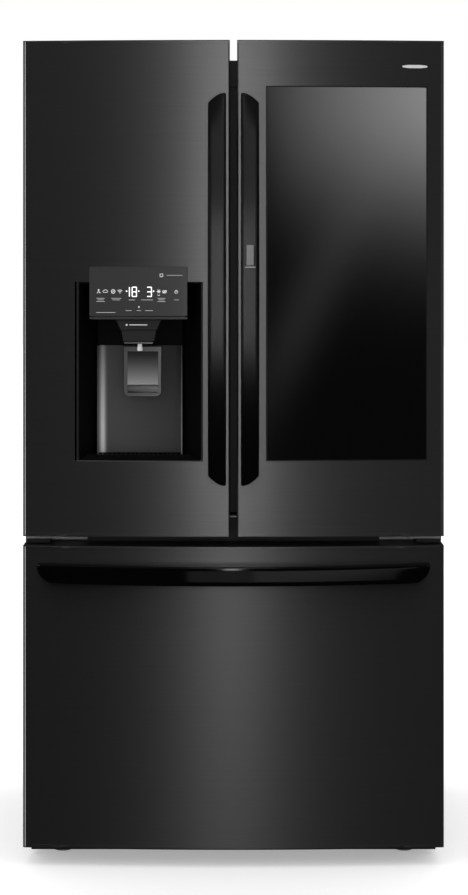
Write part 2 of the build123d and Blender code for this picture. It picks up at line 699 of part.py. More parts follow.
def door_bin(z0, x0, x1, y0, y1, height):
    with BuildPart() as bin_:
        tub(x0, x1, y0, y1, z0, z0 + height, 2.5, 14)
    return bin_.part


bins = [door_bin(z, RIB[0] + RIB_T + 1, RIB[1] - RIB_T - 1, Y_BACK + 0.5, -140, 88) for z in (780, 960)]
save(group("left_door_bins", bins), "left_door_bins")

ICE_X = (RIB[0] + RIB_T + 1, RIB[1] - RIB_T - 1)
ICE_Z = (1150, 1672)
ICE_LID, ICE_WALL = -140, 6  # face of the lid towards the shelves, and thickness all round


with BuildPart() as ice_lid:
    slab(*ICE_X, ICE_LID - ICE_WALL, ICE_LID, *ICE_Z)
    fillet(ice_lid.edges().filter_by(Axis.Z).group_by(Axis.Y)[-1], 5)
ice_latch = block_of(-110, -96, ICE_LID, ICE_LID + 7, 1390, 1450)
ice_inner = (ICE_X[0] + ICE_WALL, ICE_X[1] - ICE_WALL)
ice_back = block_of(*ice_inner, Y_BACK, Y_BACK + ICE_WALL, ICE_Z[0] + ICE_WALL, ICE_Z[1] - ICE_WALL)
ice_box = [ice_lid.part, ice_latch, ice_back]
for x in (ICE_X[0], ICE_X[1] - ICE_WALL):
    ice_box.append(block_of(x, x + ICE_WALL, Y_BACK, ICE_LID - ICE_WALL, *ICE_Z))
for z in (ICE_Z[0], ICE_Z[1] - ICE_WALL):
    ice_box.append(block_of(*ice_inner, Y_BACK, ICE_LID - ICE_WALL, z, z + ICE_WALL))
save(group("ice_compartment", ice_box), "ice_compartment")

with BuildPart() as mullion_flap:
    slab(-40, 3, Y_CAB + 0.5, -212, *FLAP)
    fillet(mullion_flap.edges().filter_by(Axis.Z), 3)
    for z0 in (FLAP[0] - 1, FLAP[1] - 11):
        rod(2.3, (*FLAP_PIVOT, z0), 12, mode=Mode.SUBTRACT)
save(mullion_flap.part, "mullion_flap")


# ---------------------------------------------------------------- dispenser
def recess_body(grow):
    """Tapered hollow of the dispenser, grown by a wall thickness, in the open part."""
    front, back = Y_APEX - 2, RECESS_BACK + grow
    z0, z1 = RECESS[0] - grow, RECESS[1] + grow
    with BuildSketch(Plane.XZ.offset(-front)) as mouth:
        with Locations((DISP_X, (z0 + z1) / 2)):
            RectangleRounded(2 * (RECESS_HALF + grow), z1 - z0, 5)
    with BuildSketch(Plane.XZ.offset(-back)) as rear:
        with Locations((DISP_X, (z0 + z1) / 2)):
            RectangleRounded(2 * (92 + grow), z1 - z0, 5)
    loft(sections=[mouth.sketch.face(), rear.sketch.face()])


with BuildPart() as hollow:
    recess_body(0)
with BuildPart() as dispenser_recess:
    recess_body(WALL)
    add(hollow.part, mode=Mode.SUBTRACT)
    front_block(-DOOR_HALF, 0, Y_BACK, RECESS[0] - 20, RECESS[1] + 20, 0, 0, Mode.INTERSECT)
save(dispenser_recess.part, "dispenser_recess")

PANEL_X0, PANEL_X1 = DISP_X - PANEL_HALF, DISP_X + PANEL_HALF
with BuildPart() as dispenser_panel:
    front_block(PANEL_X0, PANEL_X1, -306, *PANEL, -6, 3)
    fillet(dispenser_panel.edges().group_by(Axis.Z)[-1].filter_by(GeomType.CIRCLE, reverse=True), 0.4)
    slab(PANEL_X0 - 1, PANEL_X1 + 1, -333, -300, RECESS[1] - 0.5, PANEL[1] + 1, Mode.SUBTRACT)
    front_block(PANEL_X0 - 5, PANEL_X1 + 5, -300, RECESS[1] - 0.5, PANEL[1] + 1, 0, 0, Mode.SUBTRACT)
save(dispenser_panel.part, "dispenser_panel")

with BuildPart() as dispenser_chute:
    with BuildSketch(Plane.XZ.offset(328)):
        with BuildLine():
            Polyline(
                (DISP_X - 50, PANEL[0]), (DISP_X - 41, 1160), (DISP_X - 34, 1158), (DISP_X - 34, 1133),
                (DISP_X + 34, 1133), (DISP_X + 34, 1158), (DISP_X + 41, 1160), (DISP_X + 50, PANEL[0]),
                close=True,
            )
        make_face()
    extrude(amount=-42)
    rod(5.5, (DISP_X + 2, -312, 1115), 20)
    rod(3, (DISP_X + 2, -312, 1114), 8, mode=Mode.SUBTRACT)
    slab(DISP_X - 30, DISP_X + 30, -322, -296, 1128, 1133)
save(dispenser_chute.part, "dispenser_chute")

with BuildPart() as dispenser_tray:
    slab(DISP_X - 126, DISP_X + 126, -330, -264, RECESS[0], RECESS[0] + 9)
    for column in range(15):
        x = DISP_X - 80 + column * 11
        slab(x, x + 7, -320, -276, RECESS[0] + 3, RECESS[0] + 10, Mode.SUBTRACT)
    add(hollow.part, mode=Mode.INTERSECT)
save(dispenser_tray.part, "dispenser_tray")

PADDLE_X = DISP_X + 7
PADDLE_PIVOT = (-290, 1120)
with BuildPart() as dispenser_paddle:
    slab(PADDLE_X - 41, PADDLE_X + 41, -293, -287, 1015, 1124)
    fillet(dispenser_paddle.edges().filter_by(Axis.Y).group_by(Axis.Z)[0], 12)
    rod(3, (PADDLE_X - 46, *PADDLE_PIVOT), 92, "X")
    slab(PADDLE_X - 34, PADDLE_X + 34, -295, -292, 1042, 1112)
    slab(PADDLE_X - 30, PADDLE_X + 30, -298, -292, 1026, 1036)
save(dispenser_paddle.part, "dispenser_paddle")


# ---------------------------------------------------------------- handles
HANDLE = (826, 1672)
HANDLE_X = (16, 55)
BUTTON_X = (24, 47)
BUTTON_Z = (1298, 1345)


def vertical_handle(side):
    """Arched bar beside the gap between the doors; its far edge is the shorter one."""
    z0, z1 = HANDLE
    middle = (z0 + z1) / 2
    x0, x1 = sorted((side * HANDLE_X[0], side * HANDLE_X[1]))
    far, near = side * (HANDLE_X[1] + 1), side * (HANDLE_X[0] - 2)
    with BuildPart() as bar:
        with BuildSketch(Plane.YZ.offset(x0)):
            with BuildLine():
                ThreePointArc((-352, z0), (Y_APEX - HANDLE_PROUD, middle), (-352, z1))
                Line((-352, z1), (Y_APEX, z1))
                Line((Y_APEX, z1), (Y_APEX, z1 - 46))
                ThreePointArc((Y_APEX, z1 - 46), (-374, middle), (Y_APEX, z0 + 46))
                Line((Y_APEX, z0 + 46), (Y_APEX, z0))
                Line((Y_APEX, z0), (-352, z0))
            make_face()
        extrude(amount=x1 - x0)
        fillet(
            bar.edges().filter_by(lambda e: e.geom_type == GeomType.CIRCLE and (e @ 0.5).Y < -390), 6
        )
        for z, way in ((z0, 1), (z1, -1)):
            with BuildSketch(Plane.XZ.offset(300)):
                with BuildLine():
                    Polyline((near, z - way * 2), (far, z - way * 2), (far, z + way * 19), close=True)
                make_face()
            extrude(amount=110, mode=Mode.SUBTRACT)
        if side > 0:
            slab(*BUTTON_X, -405, -388, *BUTTON_Z, Mode.SUBTRACT)
    return bar.part


save(vertical_handle(-1), "left_door_handle")
save(vertical_handle(1), "right_door_handle")

with BuildPart() as release_button:
    slab(BUTTON_X[0] + 0.3, BUTTON_X[1] - 0.3, -397.7, -391, BUTTON_Z[0] + 0.3, BUTTON_Z[1] - 0.3)
    fillet(release_button.edges().group_by(Axis.Y)[0], 1)
save(release_button.part, "release_button")

BAR = (616, 658)
BAR_HALF = 424
with BuildPart() as drawer_handle:
    with BuildSketch(Plane.XY.offset(BAR[0])):
        with BuildLine():
            ThreePointArc((-BAR_HALF, -346), (0, Y_APEX - HANDLE_PROUD), (BAR_HALF, -346))
            Line((BAR_HALF, -346), (BAR_HALF, -310))
            Line((BAR_HALF, -310), (BAR_HALF - 36, -310))
            Line((BAR_HALF - 36, -310), (BAR_HALF - 36, -330))
            ThreePointArc((BAR_HALF - 36, -330), (0, -374), (36 - BAR_HALF, -330))
            Line((36 - BAR_HALF, -330), (36 - BAR_HALF, -310))
            Line((36 - BAR_HALF, -310), (-BAR_HALF, -310))
            Line((-BAR_HALF, -310), (-BAR_HALF, -346))
        make_face()
    extrude(amount=BAR[1] - BAR[0])
    fillet(
        drawer_handle.edges().filter_by(lambda e: e.geom_type == GeomType.CIRCLE and (e @ 0.5).Y < -390), 6
    )
    for side in (-1, 1):
        with BuildSketch(Plane.XZ.offset(300)):
            with BuildLine():
                Polyline(
                    (side * (BAR_HALF + 2), BAR[0] - 2), (side * (BAR_HALF - 21), BAR[0] - 2),
                    (side * (BAR_HALF + 2), BAR[1] + 2), close=True,
                )
            make_face()
        extrude(amount=110, mode=Mode.SUBTRACT)
    front_block(-DOOR_HALF, DOOR_HALF, Y_BACK, 600, 680, 0, 0, Mode.SUBTRACT)
save(drawer_handle.part, "drawer_handle")

# ---------------------------------------------------------------- right door's inner frame and storage case
WIN_X = (CASE[0] + CASE_WALL, CASE[1] - CASE_WALL)
WIN_Z = (CASE[2] + CASE_WALL, CASE[3] - CASE_WALL)


def frame_bar(x0, x1, z0, z1, holes=False):
    with BuildPart() as bar:
        slab(x0, x1, FRAME_FRONT, Y_BACK, z0, z1)
        if holes:
            pin_holes(1)
    return bar.part


bars = [
    frame_bar(GAP_HALF, WIN_X[0], DOOR_BOTTOM, DOOR_TOP),
    frame_bar(WIN_X[1], DOOR_HALF, DOOR_BOTTOM, NOTCH_Z, True),
    frame_bar(WIN_X[0], NOTCH_X, WIN_Z[1], DOOR_TOP),
    frame_bar(NOTCH_X, WIN_X[1], WIN_Z[1], NOTCH_Z),
    frame_bar(WIN_X[0], WIN_X[1], DOOR_BOTTOM, WIN_Z[0]),
]
save(group("inner_door_frame", bars), "inner_door_frame")

with BuildPart() as inner_door_gasket:
    ring(SEAL_IN, SEAL_OUT, Y_BACK, Y_CAB, *SEAL_Z, SEAL)
save(inner_door_gasket.part, "inner_door_gasket")

with BuildPart() as case_back:
    slab(*WIN_X, CASE_BACK - 3, CASE_BACK, *WIN_Z)
    for column in range(3):
        left = WIN_X[0] + 24 + column * 94
        louvres(16, left, left + 76, WIN_Z[0] + 60, 50, 12, CASE_BACK - 4, CASE_BACK + 1)
walls = [
    block_of(CASE[0], WIN_X[0], Y_BACK, CASE_BACK, CASE[2], CASE[3]),
    block_of(WIN_X[1], CASE[1], Y_BACK, CASE_BACK, CASE[2], CASE[3]),
    block_of(*WIN_X, Y_BACK, CASE_BACK, WIN_Z[1], CASE[3]),
    block_of(*WIN_X, Y_BACK, CASE_BACK, CASE[2], WIN_Z[0]),
    case_back.part,
]
save(group("storage_case", walls), "storage_case")

bins = [door_bin(z, WIN_X[0] + 1, WIN_X[1] - 1, -274, CASE_BACK - 4, 92) for z in (WIN_Z[0], 1070, 1370)]
save(group("case_baskets", bins), "case_baskets")


def window_hinge(z_plate, z_pin):
    """Lug on the inner frame with the pin that the window door turns on."""
    with BuildPart() as lug:
        rod(8, (SUB_PIN_X, SUB_PIN_Y, z_plate), 5)
        slab(SUB_PIN_X - 8, SUB_PIN_X + 8, SUB_PIN_Y, FRAME_FRONT, z_plate, z_plate + 5)
        rod(SUB_PIN_R, (SUB_PIN_X, SUB_PIN_Y, z_pin), 20)
    return lug.part


SUB_LOW, SUB_HIGH = 722, 1740  # the window door's notches start beyond these
save(
    group("window_door_hinges", [window_hinge(715.5, 718), window_hinge(1741.5, 1723)]), "window_door_hinges"
)

# ---------------------------------------------------------------- window door
RIGHT = (GAP_HALF, DOOR_HALF)
SUB_NOTCH_Y = SUB_PIN_Y - 8.6
SUB_NOTCH_X = SUB_PIN_X - 18


def window_door_cuts():
    """Clears the hinge arm, the lugs and the pins, in the open part."""
    hinge_notch(1)
    slab(SUB_NOTCH_X, DOOR_HALF + 5, SUB_NOTCH_Y, SUB_BACK + 5, SUB_HIGH, DOOR_TOP + 5, Mode.SUBTRACT)
    slab(SUB_NOTCH_X, DOOR_HALF + 5, SUB_NOTCH_Y, SUB_BACK + 5, DOOR_BOTTOM - 5, SUB_LOW, Mode.SUBTRACT)
    for z in (SUB_LOW - 1, SUB_HIGH - 18):
        rod(SUB_PIN_R + 0.3, (SUB_PIN_X, SUB_PIN_Y, z), 19, mode=Mode.SUBTRACT)


with BuildPart() as window_door_skin:
    skin(*RIGHT, SUB_BACK, DOOR_BOTTOM, DOOR_TOP)
    slab(GLASS[0], GLASS[1], Y_APEX - 5, SUB_BACK + 5, GLASS[2], GLASS[3], Mode.SUBTRACT)
    window_door_cuts()
save(window_door_skin.part, "window_door_skin")

ends = []
for z in (DOOR_BOTTOM, DOOR_TOP - CAP):
    with BuildPart() as end:
        front_block(*RIGHT, SUB_BACK, z, z + CAP, 0, CORNER)
        window_door_cuts()
    ends.append(end.part)
save(group("window_door_caps", ends), "window_door_caps")

RX0, RX1 = RIGHT[0] + SKIN + LOOSE, RIGHT[1] - SKIN - LOOSE
SUB_CORE = SUB_BACK - REAR_PLATE


def window_core(x0, x1, z0, z1, y_back=SUB_CORE):
    with BuildPart() as block:
        front_block(x0, x1, y_back, z0, z1, SKIN + LOOSE, CORNER - SKIN if x1 > 440 or x0 < 20 else 0)
        if x1 > 440 and y_back == SUB_CORE:
            for z in (SUB_LOW - 1, SUB_HIGH - 18):
                rod(SUB_PIN_R + 0.3, (SUB_PIN_X, SUB_PIN_Y, z), 19, mode=Mode.SUBTRACT)
    return block.part


blocks = [
    window_core(RX0, GLASS[0], Z_IN0, Z_IN1),
    window_core(GLASS[1], RX1, SUB_LOW, SUB_HIGH),
    window_core(GLASS[0], GLASS[1], Z_IN0, GLASS[2]),
    window_core(GLASS[0], NOTCH_X, GLASS[3], Z_IN1),
    window_core(NOTCH_X, GLASS[1], GLASS[3], SUB_HIGH),
    window_core(NOTCH_X, RX1, NOTCH_Z, Z_IN1, SUB_NOTCH_Y - 0.4),
]
save(group("window_door_insulation", blocks), "window_door_insulation")

RIM = 14  # width of the rim that the glass is bonded to


def rim_bar(x0, x1, z0, z1):
    with BuildPart() as bar:
        front_block(x0, x1, SUB_CORE, z0, z1, 4)
    return bar.part


def liner_bar(x0, x1, z0, z1):
    """A member of the window door's back, cleared for the hinges."""
    with BuildPart() as bar:
        slab(x0, x1, SUB_CORE, SUB_BACK, z0, z1)
        window_door_cuts()
    return bar.part


G_X0, G_X1, G_Z0, G_Z1 = GLASS
window_bars = [
    rim_bar(G_X0, G_X0 + RIM, G_Z0, G_Z1),
    rim_bar(G_X1 - RIM, G_X1, G_Z0, G_Z1),
    rim_bar(G_X0 + RIM, G_X1 - RIM, G_Z0, G_Z0 + RIM),
    rim_bar(G_X0 + RIM, G_X1 - RIM, G_Z1 - RIM, G_Z1),
    liner_bar(RX0, G_X0, Z_IN0, Z_IN1),
    liner_bar(G_X1, RX1, SUB_LOW, SUB_HIGH),
    liner_bar(G_X0, G_X1, Z_IN0, G_Z0),
    liner_bar(G_X0, NOTCH_X, G_Z1, Z_IN1),
    liner_bar(NOTCH_X, G_X1, G_Z1, SUB_HIGH),
]
save(group("window_frame", window_bars), "window_frame")

with BuildPart() as outer_pane:
    front_block(GLASS[0] + 0.4, GLASS[1] - 0.4, -300, GLASS[2] + 0.4, GLASS[3] - 0.4)
    front_block(GLASS[0] - 9, GLASS[1] + 9, -290, GLASS[2], GLASS[3], 4, 0, Mode.SUBTRACT)
with BuildPart() as inner_pane:
    slab(GLASS[0] + 14, GLASS[1] - 14, SUB_CORE - 4, SUB_CORE, GLASS[2] + 14, GLASS[3] - 14)
save(group("window_glass", [outer_pane.part, inner_pane.part]), "window_glass")

with BuildPart() as window_door_gasket:
    ring(16, SEAL_OUT, SUB_BACK, FRAME_FRONT, 735, 1736, 14)
save(window_door_gasket.part, "window_door_gasket")

# ---------------------------------------------------------------- freezer drawer
FRONT = (-DOOR_HALF, DOOR_HALF)

with BuildPart() as drawer_skin:
    skin(*FRONT, Y_BACK, DRAWER_BOTTOM, DRAWER_TOP)
save(drawer_skin.part, "drawer_skin")

with BuildPart() as drawer_liner:
    slab(
        FRONT[0] + SKIN + LOOSE, FRONT[1] - SKIN - LOOSE, CORE_BACK, Y_BACK,
        DRAWER_BOTTOM + CAP, DRAWER_TOP - CAP,
    )
caps = [cap(*FRONT, Y_BACK, z, 0) for z in (DRAWER_BOTTOM, DRAWER_TOP - CAP)]
save(group("drawer_trim", caps + [drawer_liner.part]), "drawer_trim")

block = core(
    FRONT[0] + SKIN + LOOSE, FRONT[1] - SKIN - LOOSE, DRAWER_BOTTOM + CAP, DRAWER_TOP - CAP, CORE_BACK
)
save(block, "drawer_insulation")

with BuildPart() as drawer_gasket:
    ring(-431, 431, Y_BACK, Y_CAB, 90, 690, SEAL)
save(drawer_gasket.part, "drawer_gasket")

BASKET = (368, -240, 128, 134, 470)  # half width, y0, y1, z0, z1
with BuildPart() as freezer_basket:
    tub(-BASKET[0], BASKET[0], *BASKET[1:], 4, 16)
save(freezer_basket.part, "freezer_basket")

RAIL_Z = (296, 324)
SLIDE_BACK = 120


def rail(side, x0, x1, y0, y1, z0, z1):
    with BuildPart() as bar:
        slab(*sorted((side * x0, side * x1)), y0, y1, z0, z1)
    return bar.part


save(
    group("drawer_moving_rails", [rail(s, BASKET[0], 380, Y_BACK, 110, *RAIL_Z) for s in (-1, 1)]),
    "drawer_moving_rails",
)
save(
    group("drawer_middle_rails", [rail(s, 380.5, 392, -230, SLIDE_BACK, 300, 320) for s in (-1, 1)]),
    "drawer_middle_rails",
)
fixed = [rail(s, 392.5, CAVITY_HALF, -230, SLIDE_BACK + 10, *RAIL_Z) for s in (-1, 1)]
ledges = [rail(s, 372, CAVITY_HALF, -220, 240, 512, 520) for s in (-1, 1)]
save(group("freezer_fixed_rails", fixed + ledges), "freezer_fixed_rails")

with BuildPart() as upper_freezer_tray:
    tub(-388, 388, -222, 236, 520, 640, 3, 14)
save(upper_freezer_tray.part, "upper_freezer_tray")
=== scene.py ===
"""Looks of a french door refrigerator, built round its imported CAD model.

Units are metres. +Z is up, the front faces -Y and the origin is on the floor under the middle.
"""

import json
import math

import bmesh
import bpy
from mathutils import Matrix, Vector


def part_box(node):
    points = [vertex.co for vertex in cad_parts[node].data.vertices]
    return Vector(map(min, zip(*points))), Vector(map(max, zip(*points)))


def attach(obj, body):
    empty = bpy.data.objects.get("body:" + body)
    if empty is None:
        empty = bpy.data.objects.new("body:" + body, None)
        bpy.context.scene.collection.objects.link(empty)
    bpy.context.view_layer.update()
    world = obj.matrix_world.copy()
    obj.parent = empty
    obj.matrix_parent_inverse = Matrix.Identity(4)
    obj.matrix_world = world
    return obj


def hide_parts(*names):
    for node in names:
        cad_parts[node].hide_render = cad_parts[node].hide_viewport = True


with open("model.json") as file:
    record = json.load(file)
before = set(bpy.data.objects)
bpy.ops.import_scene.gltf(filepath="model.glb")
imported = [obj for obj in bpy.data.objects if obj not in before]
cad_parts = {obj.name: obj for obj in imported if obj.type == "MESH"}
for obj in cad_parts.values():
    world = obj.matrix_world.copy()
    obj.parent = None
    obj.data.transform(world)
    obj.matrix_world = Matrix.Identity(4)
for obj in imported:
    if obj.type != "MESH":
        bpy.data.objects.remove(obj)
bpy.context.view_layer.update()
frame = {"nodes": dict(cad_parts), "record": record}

MM = 0.001
SLOT_OF = {part["node"]: part["material_slot"] for part in frame["record"]["subparts"]}

# ---------------------------------------------------------------- driving dimensions, from the frame
drawer_low, drawer_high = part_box("drawer_skin")
HALF_WIDTH = drawer_high.x
APEX = drawer_low.y  # the most forward line of the bowed fronts
BOW = 20 * MM  # how far the fronts bulge at the middle
BOW_RADIUS = (HALF_WIDTH**2 + BOW**2) / (2 * BOW)


def front_y(x, proud=0.0):
    """Y of the bowed front at x, or of a surface that stands proud of it."""
    radius = BOW_RADIUS + proud
    return APEX - proud + radius - math.sqrt(radius**2 - x**2)


# ---------------------------------------------------------------- camera
def make_camera():
    data = bpy.data.cameras.new("camera")
    data.lens = 81.7
    data.sensor_width = 36
    data.shift_x = 0.0006
    data.shift_y = -0.198
    camera = bpy.data.objects.new("camera", data)
    camera.location = (0, -4.72, 1.29)
    camera.rotation_euler = (math.radians(90), 0, 0)
    bpy.context.scene.collection.objects.link(camera)
    bpy.context.scene.camera = camera


make_camera()
bpy.context.scene.view_settings.view_transform = "Standard"


# ---------------------------------------------------------------- studio
def softbox(name, place, aim, width, height, radiance):
    """A rectangular light that the camera doesn't see."""
    data = bpy.data.lights.new(name, "AREA")
    data.shape = "RECTANGLE"
    data.size = width
    data.size_y = height
    data.energy = radiance * math.pi * width * height
    light = bpy.data.objects.new(name, data)
    light.location = place
    light.rotation_euler = (Vector(aim) - Vector(place)).to_track_quat("-Z", "Y").to_euler()
    light.visible_camera = False
    bpy.context.scene.collection.objects.link(light)


def make_world():
    """White surroundings, of which glossy surfaces mirror only a dim sky."""
    world = bpy.data.worlds.new("studio")
    bpy.context.scene.world = world
    world.use_nodes = True
    nodes, links = world.node_tree.nodes, world.node_tree.links
    nodes.clear()
    white = nodes.new("ShaderNodeBackground")
    white.inputs["Color"].default_value = (1, 1, 1, 1)
    dim = nodes.new("ShaderNodeBackground")
    coords = nodes.new("ShaderNodeTexCoord")
    split = nodes.new("ShaderNodeSeparateXYZ")
    ramp = nodes.new("ShaderNodeValToRGB")
    links.new(coords.outputs["Generated"], split.inputs[0])
    links.new(split.outputs["Z"], ramp.inputs[0])
    stops = ramp.color_ramp.elements
    stops[0].position, stops[0].color = 0.0, (0.008, 0.008, 0.008, 1)
    stops[1].position, stops[1].color = 0.45, (0.095, 0.095, 0.098, 1)
    links.new(ramp.outputs[0], dim.inputs["Color"])
    path = nodes.new("ShaderNodeLightPath")
    mix = nodes.new("ShaderNodeMixShader")
    output = nodes.new("ShaderNodeOutputWorld")
    links.new(path.outputs["Is Glossy Ray"], mix.inputs[0])
    links.new(white.outputs[0], mix.inputs[1])
    links.new(dim.outputs[0], mix.inputs[2])
    links.new(mix.outputs[0], output.inputs[0])


def make_floor():
    bm = bmesh.new()
    bmesh.ops.create_grid(bm, x_segments=1, y_segments=1, size=30)
    mesh = bpy.data.meshes.new("floor")
    bm.to_mesh(mesh)
    bm.free()
    floor = bpy.data.objects.new("floor", mesh)
    floor.visible_glossy = False
    bpy.context.scene.collection.objects.link(floor)
    look = bpy.data.materials.new("floor")
    look.use_nodes = True
    shader = look.node_tree.nodes["Principled BSDF"]
    shader.inputs["Base Color"].default_value = (0.9, 0.9, 0.9, 1)
    shader.inputs["Roughness"].default_value = 0.9
    shader.inputs["Emission Color"].default_value = (1, 1, 1, 1)
    shader.inputs["Emission Strength"].default_value = 0.34
    mesh.materials.append(look)


make_world()
make_floor()
softbox("key_strip", (-0.035, -6.5, 1.3), (-0.035, 0, 1.3), 0.30, 2.6, 4.8)
softbox("upper_right_card", (0.16, -6.5, 4.15), (0.16, 0, 4.15), 0.3, 3.1, 1.2)
softbox("upper_left_card", (-0.25, -6.5, 4.7), (-0.25, 0, 4.7), 0.5, 3.2, 0.3)
softbox("low_right_card", (2.2, -6.3, -0.25), (2.2, 0, -0.25), 3.6, 0.14, 0.6)
softbox("low_middle_card", (-0.25, -6.3, -0.25), (-0.25, 0, -0.25), 1.3, 0.14, 0.3)
softbox("left_box", (-4.2, -3.4, 1.5), (-0.45, -0.3, 0.9), 2.6, 2.8, 0.7)
softbox("right_box", (4.2, -3.4, 0.5), (0.45, -0.3, 0.8), 2.6, 0.9, 0.3)
softbox("top_box", (0, -2.6, 4.6), (0, -0.3, 0.7), 1.1, 1.2, 1.4)


# ---------------------------------------------------------------- materials
class Look:
    """A node material. Even values go on the shader's own sockets, uneven ones come from textures."""

    def __init__(self, name, colour, roughness, metallic=0.0, **more):
        self.material = bpy.data.materials.new(name)
        self.material.use_nodes = True
        self.nodes = self.material.node_tree.nodes
        self.links = self.material.node_tree.links
        self.shader = self.nodes["Principled BSDF"]
        self.put("Base Color", (*colour, 1))
        self.put("Roughness", roughness)
        self.put("Metallic", metallic)
        for key, value in more.items():
            self.put(key.replace("_", " "), value)

    def put(self, socket, value):
        self.shader.inputs[socket].default_value = value

    def space(self, scale):
        """Coordinates in the object's own metres, times a scale."""
        coords = self.nodes.new("ShaderNodeTexCoord")
        mapping = self.nodes.new("ShaderNodeMapping")
        mapping.inputs["Scale"].default_value = scale
        self.links.new(coords.outputs["Object"], mapping.inputs["Vector"])
        return mapping.outputs["Vector"]

    def noise(self, scale, detail=3.0):
        texture = self.nodes.new("ShaderNodeTexNoise")
        texture.inputs["Scale"].default_value = 1.0
        texture.inputs["Detail"].default_value = detail
        self.links.new(self.space(scale), texture.inputs["Vector"])
        return texture.outputs[0]

    def cells(self, scale, output="Distance"):
        texture = self.nodes.new("ShaderNodeTexVoronoi")
        texture.inputs["Scale"].default_value = 1.0
        self.links.new(self.space(scale), texture.inputs["Vector"])
        return texture.outputs[output]

    def ramp(self, source, stops):
        """A colour for each value of a source, from (value, colour) stops."""
        node = self.nodes.new("ShaderNodeValToRGB")
        elements = node.color_ramp.elements
        while len(elements) < len(stops):
            elements.new(0.5)
        for element, (value, colour) in zip(elements, stops):
            element.position = value
            element.color = (*colour, 1)
        self.links.new(source, node.inputs[0])
        return node.outputs[0]

    def tint(self, source, dark, light, low=0.3, high=0.7):
        self.links.new(self.ramp(source, [(low, dark), (high, light)]), self.shader.inputs["Base Color"])
        return self

    def vary(self, source, socket, low, high):
        node = self.nodes.new("ShaderNodeMapRange")
        node.inputs["From Min"].default_value = 0.25
        node.inputs["From Max"].default_value = 0.75
        node.inputs["To Min"].default_value = low
        node.inputs["To Max"].default_value = high
        self.links.new(source, node.inputs["Value"])
        self.links.new(node.outputs[0], self.shader.inputs[socket])
        return self

    def relief(self, source, height):
        bump = self.nodes.new("ShaderNodeBump")
        bump.inputs["Strength"].default_value = 1.0
        bump.inputs["Distance"].default_value = height
        self.links.new(source, bump.inputs["Height"])
        self.links.new(bump.outputs[0], self.shader.inputs["Normal"])
        return self

    def math(self, operation, a, b):
        node = self.nodes.new("ShaderNodeMath")
        node.operation = operation
        for socket, value in zip(node.inputs, (a, b)):
            if isinstance(value, (int, float)):
                socket.default_value = value
            else:
                self.links.new(value, socket)
        return node.outputs[0]


def grey(value):
    return (value, value, value)


def steel(name, shade, roughness, brush=(5, 5, 700)):
    """Sheet brushed from side to side, so that lights smear up and down in it."""
    look = Look(name, grey(shade), roughness, 1.0, Anisotropic=0.9, Anisotropic_Rotation=0.25)
    tangent = look.nodes.new("ShaderNodeTangent")
    tangent.direction_type = "RADIAL"
    tangent.axis = "Z"
    look.links.new(tangent.outputs[0], look.shader.inputs["Tangent"])
    hairs = look.noise(brush, 4.0)
    look.tint(hairs, grey(shade * 0.96), grey(shade * 1.04))
    look.vary(hairs, "Roughness", roughness * 0.97, roughness * 1.03)
    return look


def bell(look, value, centre, width):
    """A bell curve over a value, 1 at its centre."""
    offset = look.math("DIVIDE", look.math("SUBTRACT", value, centre), width)
    return look.math("EXPONENT", look.math("MULTIPLY", look.math("MULTIPLY", offset, offset), -1.0), 0.0)


def paint(look, value):
    """A grey base colour from a value."""
    joined = look.nodes.new("ShaderNodeCombineColor")
    for channel in range(3):
        look.links.new(value, joined.inputs[channel])
    look.links.new(joined.outputs[0], look.shader.inputs["Base Color"])
    return look


def axes(look):
    """The object's own x, y and z in metres."""
    split = look.nodes.new("ShaderNodeSeparateXYZ")
    look.links.new(look.space((1, 1, 1)), split.inputs[0])
    return split.outputs


def plastic(name, colour, roughness, grain=900, height=0.00002, **more):
    """Moulded plastic with a fine grain and slightly uneven colour."""
    look = Look(name, colour, roughness, 0.0, **more)
    soft = tuple(channel * 0.93 for channel in colour)
    look.tint(look.noise((9, 9, 9)), soft, colour)
    look.relief(look.noise((grain, grain, grain), 2.0), height)
    return look


def painted(name, colour, roughness, peel=350, height=0.00004):
    look = Look(name, colour, roughness)
    soft = tuple(channel * 0.9 for channel in colour)
    look.tint(look.noise((12, 12, 12)), soft, colour)
    look.relief(look.noise((peel, peel, peel), 3.0), height)
    return look


def sheet_zinc(name, shade, roughness, size):
    """Galvanised sheet with spangle."""
    look = Look(name, grey(shade), roughness, 0.9)
    spangle = look.cells((size, size, size), "Color")
    look.tint(spangle, grey(shade * 0.82), grey(shade * 1.12), 0.1, 0.9)
    look.vary(look.noise((size, size, size)), "Roughness", roughness * 0.85, roughness * 1.15)
    return look


def foam_look():
    look = Look("foam", (0.80, 0.74, 0.55), 0.9)
    look.tint(look.noise((60, 60, 60), 5.0), (0.70, 0.62, 0.42), (0.86, 0.80, 0.62))
    look.relief(look.cells((500, 500, 500)), 0.0004)
    return look


def glass_look(name, colour, roughness):
    look = Look(name, colour, roughness, Transmission_Weight=1.0, IOR=1.5)
    look.tint(look.noise((3, 3, 3)), tuple(channel * 0.96 for channel in colour), colour)
    return look


def window_look():
    """Dark tinted window glass with a painted reflection: painted pale towards its upper right, black towards
    its lower left.
    """
    look = Look("tinted_glass", grey(0.01), 0.06, Coat_Weight=0.3, Coat_Roughness=0.03)
    low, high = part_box("window_glass")
    x, _, z = axes(look)
    across = look.math("DIVIDE", look.math("SUBTRACT", x, low.x), high.x - low.x)
    up = look.math("DIVIDE", look.math("SUBTRACT", z, low.z), high.z - low.z)
    # painted reflection: a pale sky towards the top right and a faint diagonal band, over the glass's own
    # near-black colour
    slope = look.math("ADD", look.math("MULTIPLY", across, 0.85), 0.13)
    sky = look.math("MULTIPLY", bell(look, up, 1.0, 0.29), slope)
    ridge = look.math("SUBTRACT", up, look.math("MULTIPLY", across, 0.73))
    painted_reflection_band = look.math("MULTIPLY", bell(look, ridge, 0.23, 0.15), bell(look, across, 0.25, 0.40))
    painted_reflection = look.math("ADD", look.math("MULTIPLY", sky, 0.205), look.math("MULTIPLY", painted_reflection_band, 0.012))
    return paint(look, look.math("ADD", painted_reflection, 0.0016))


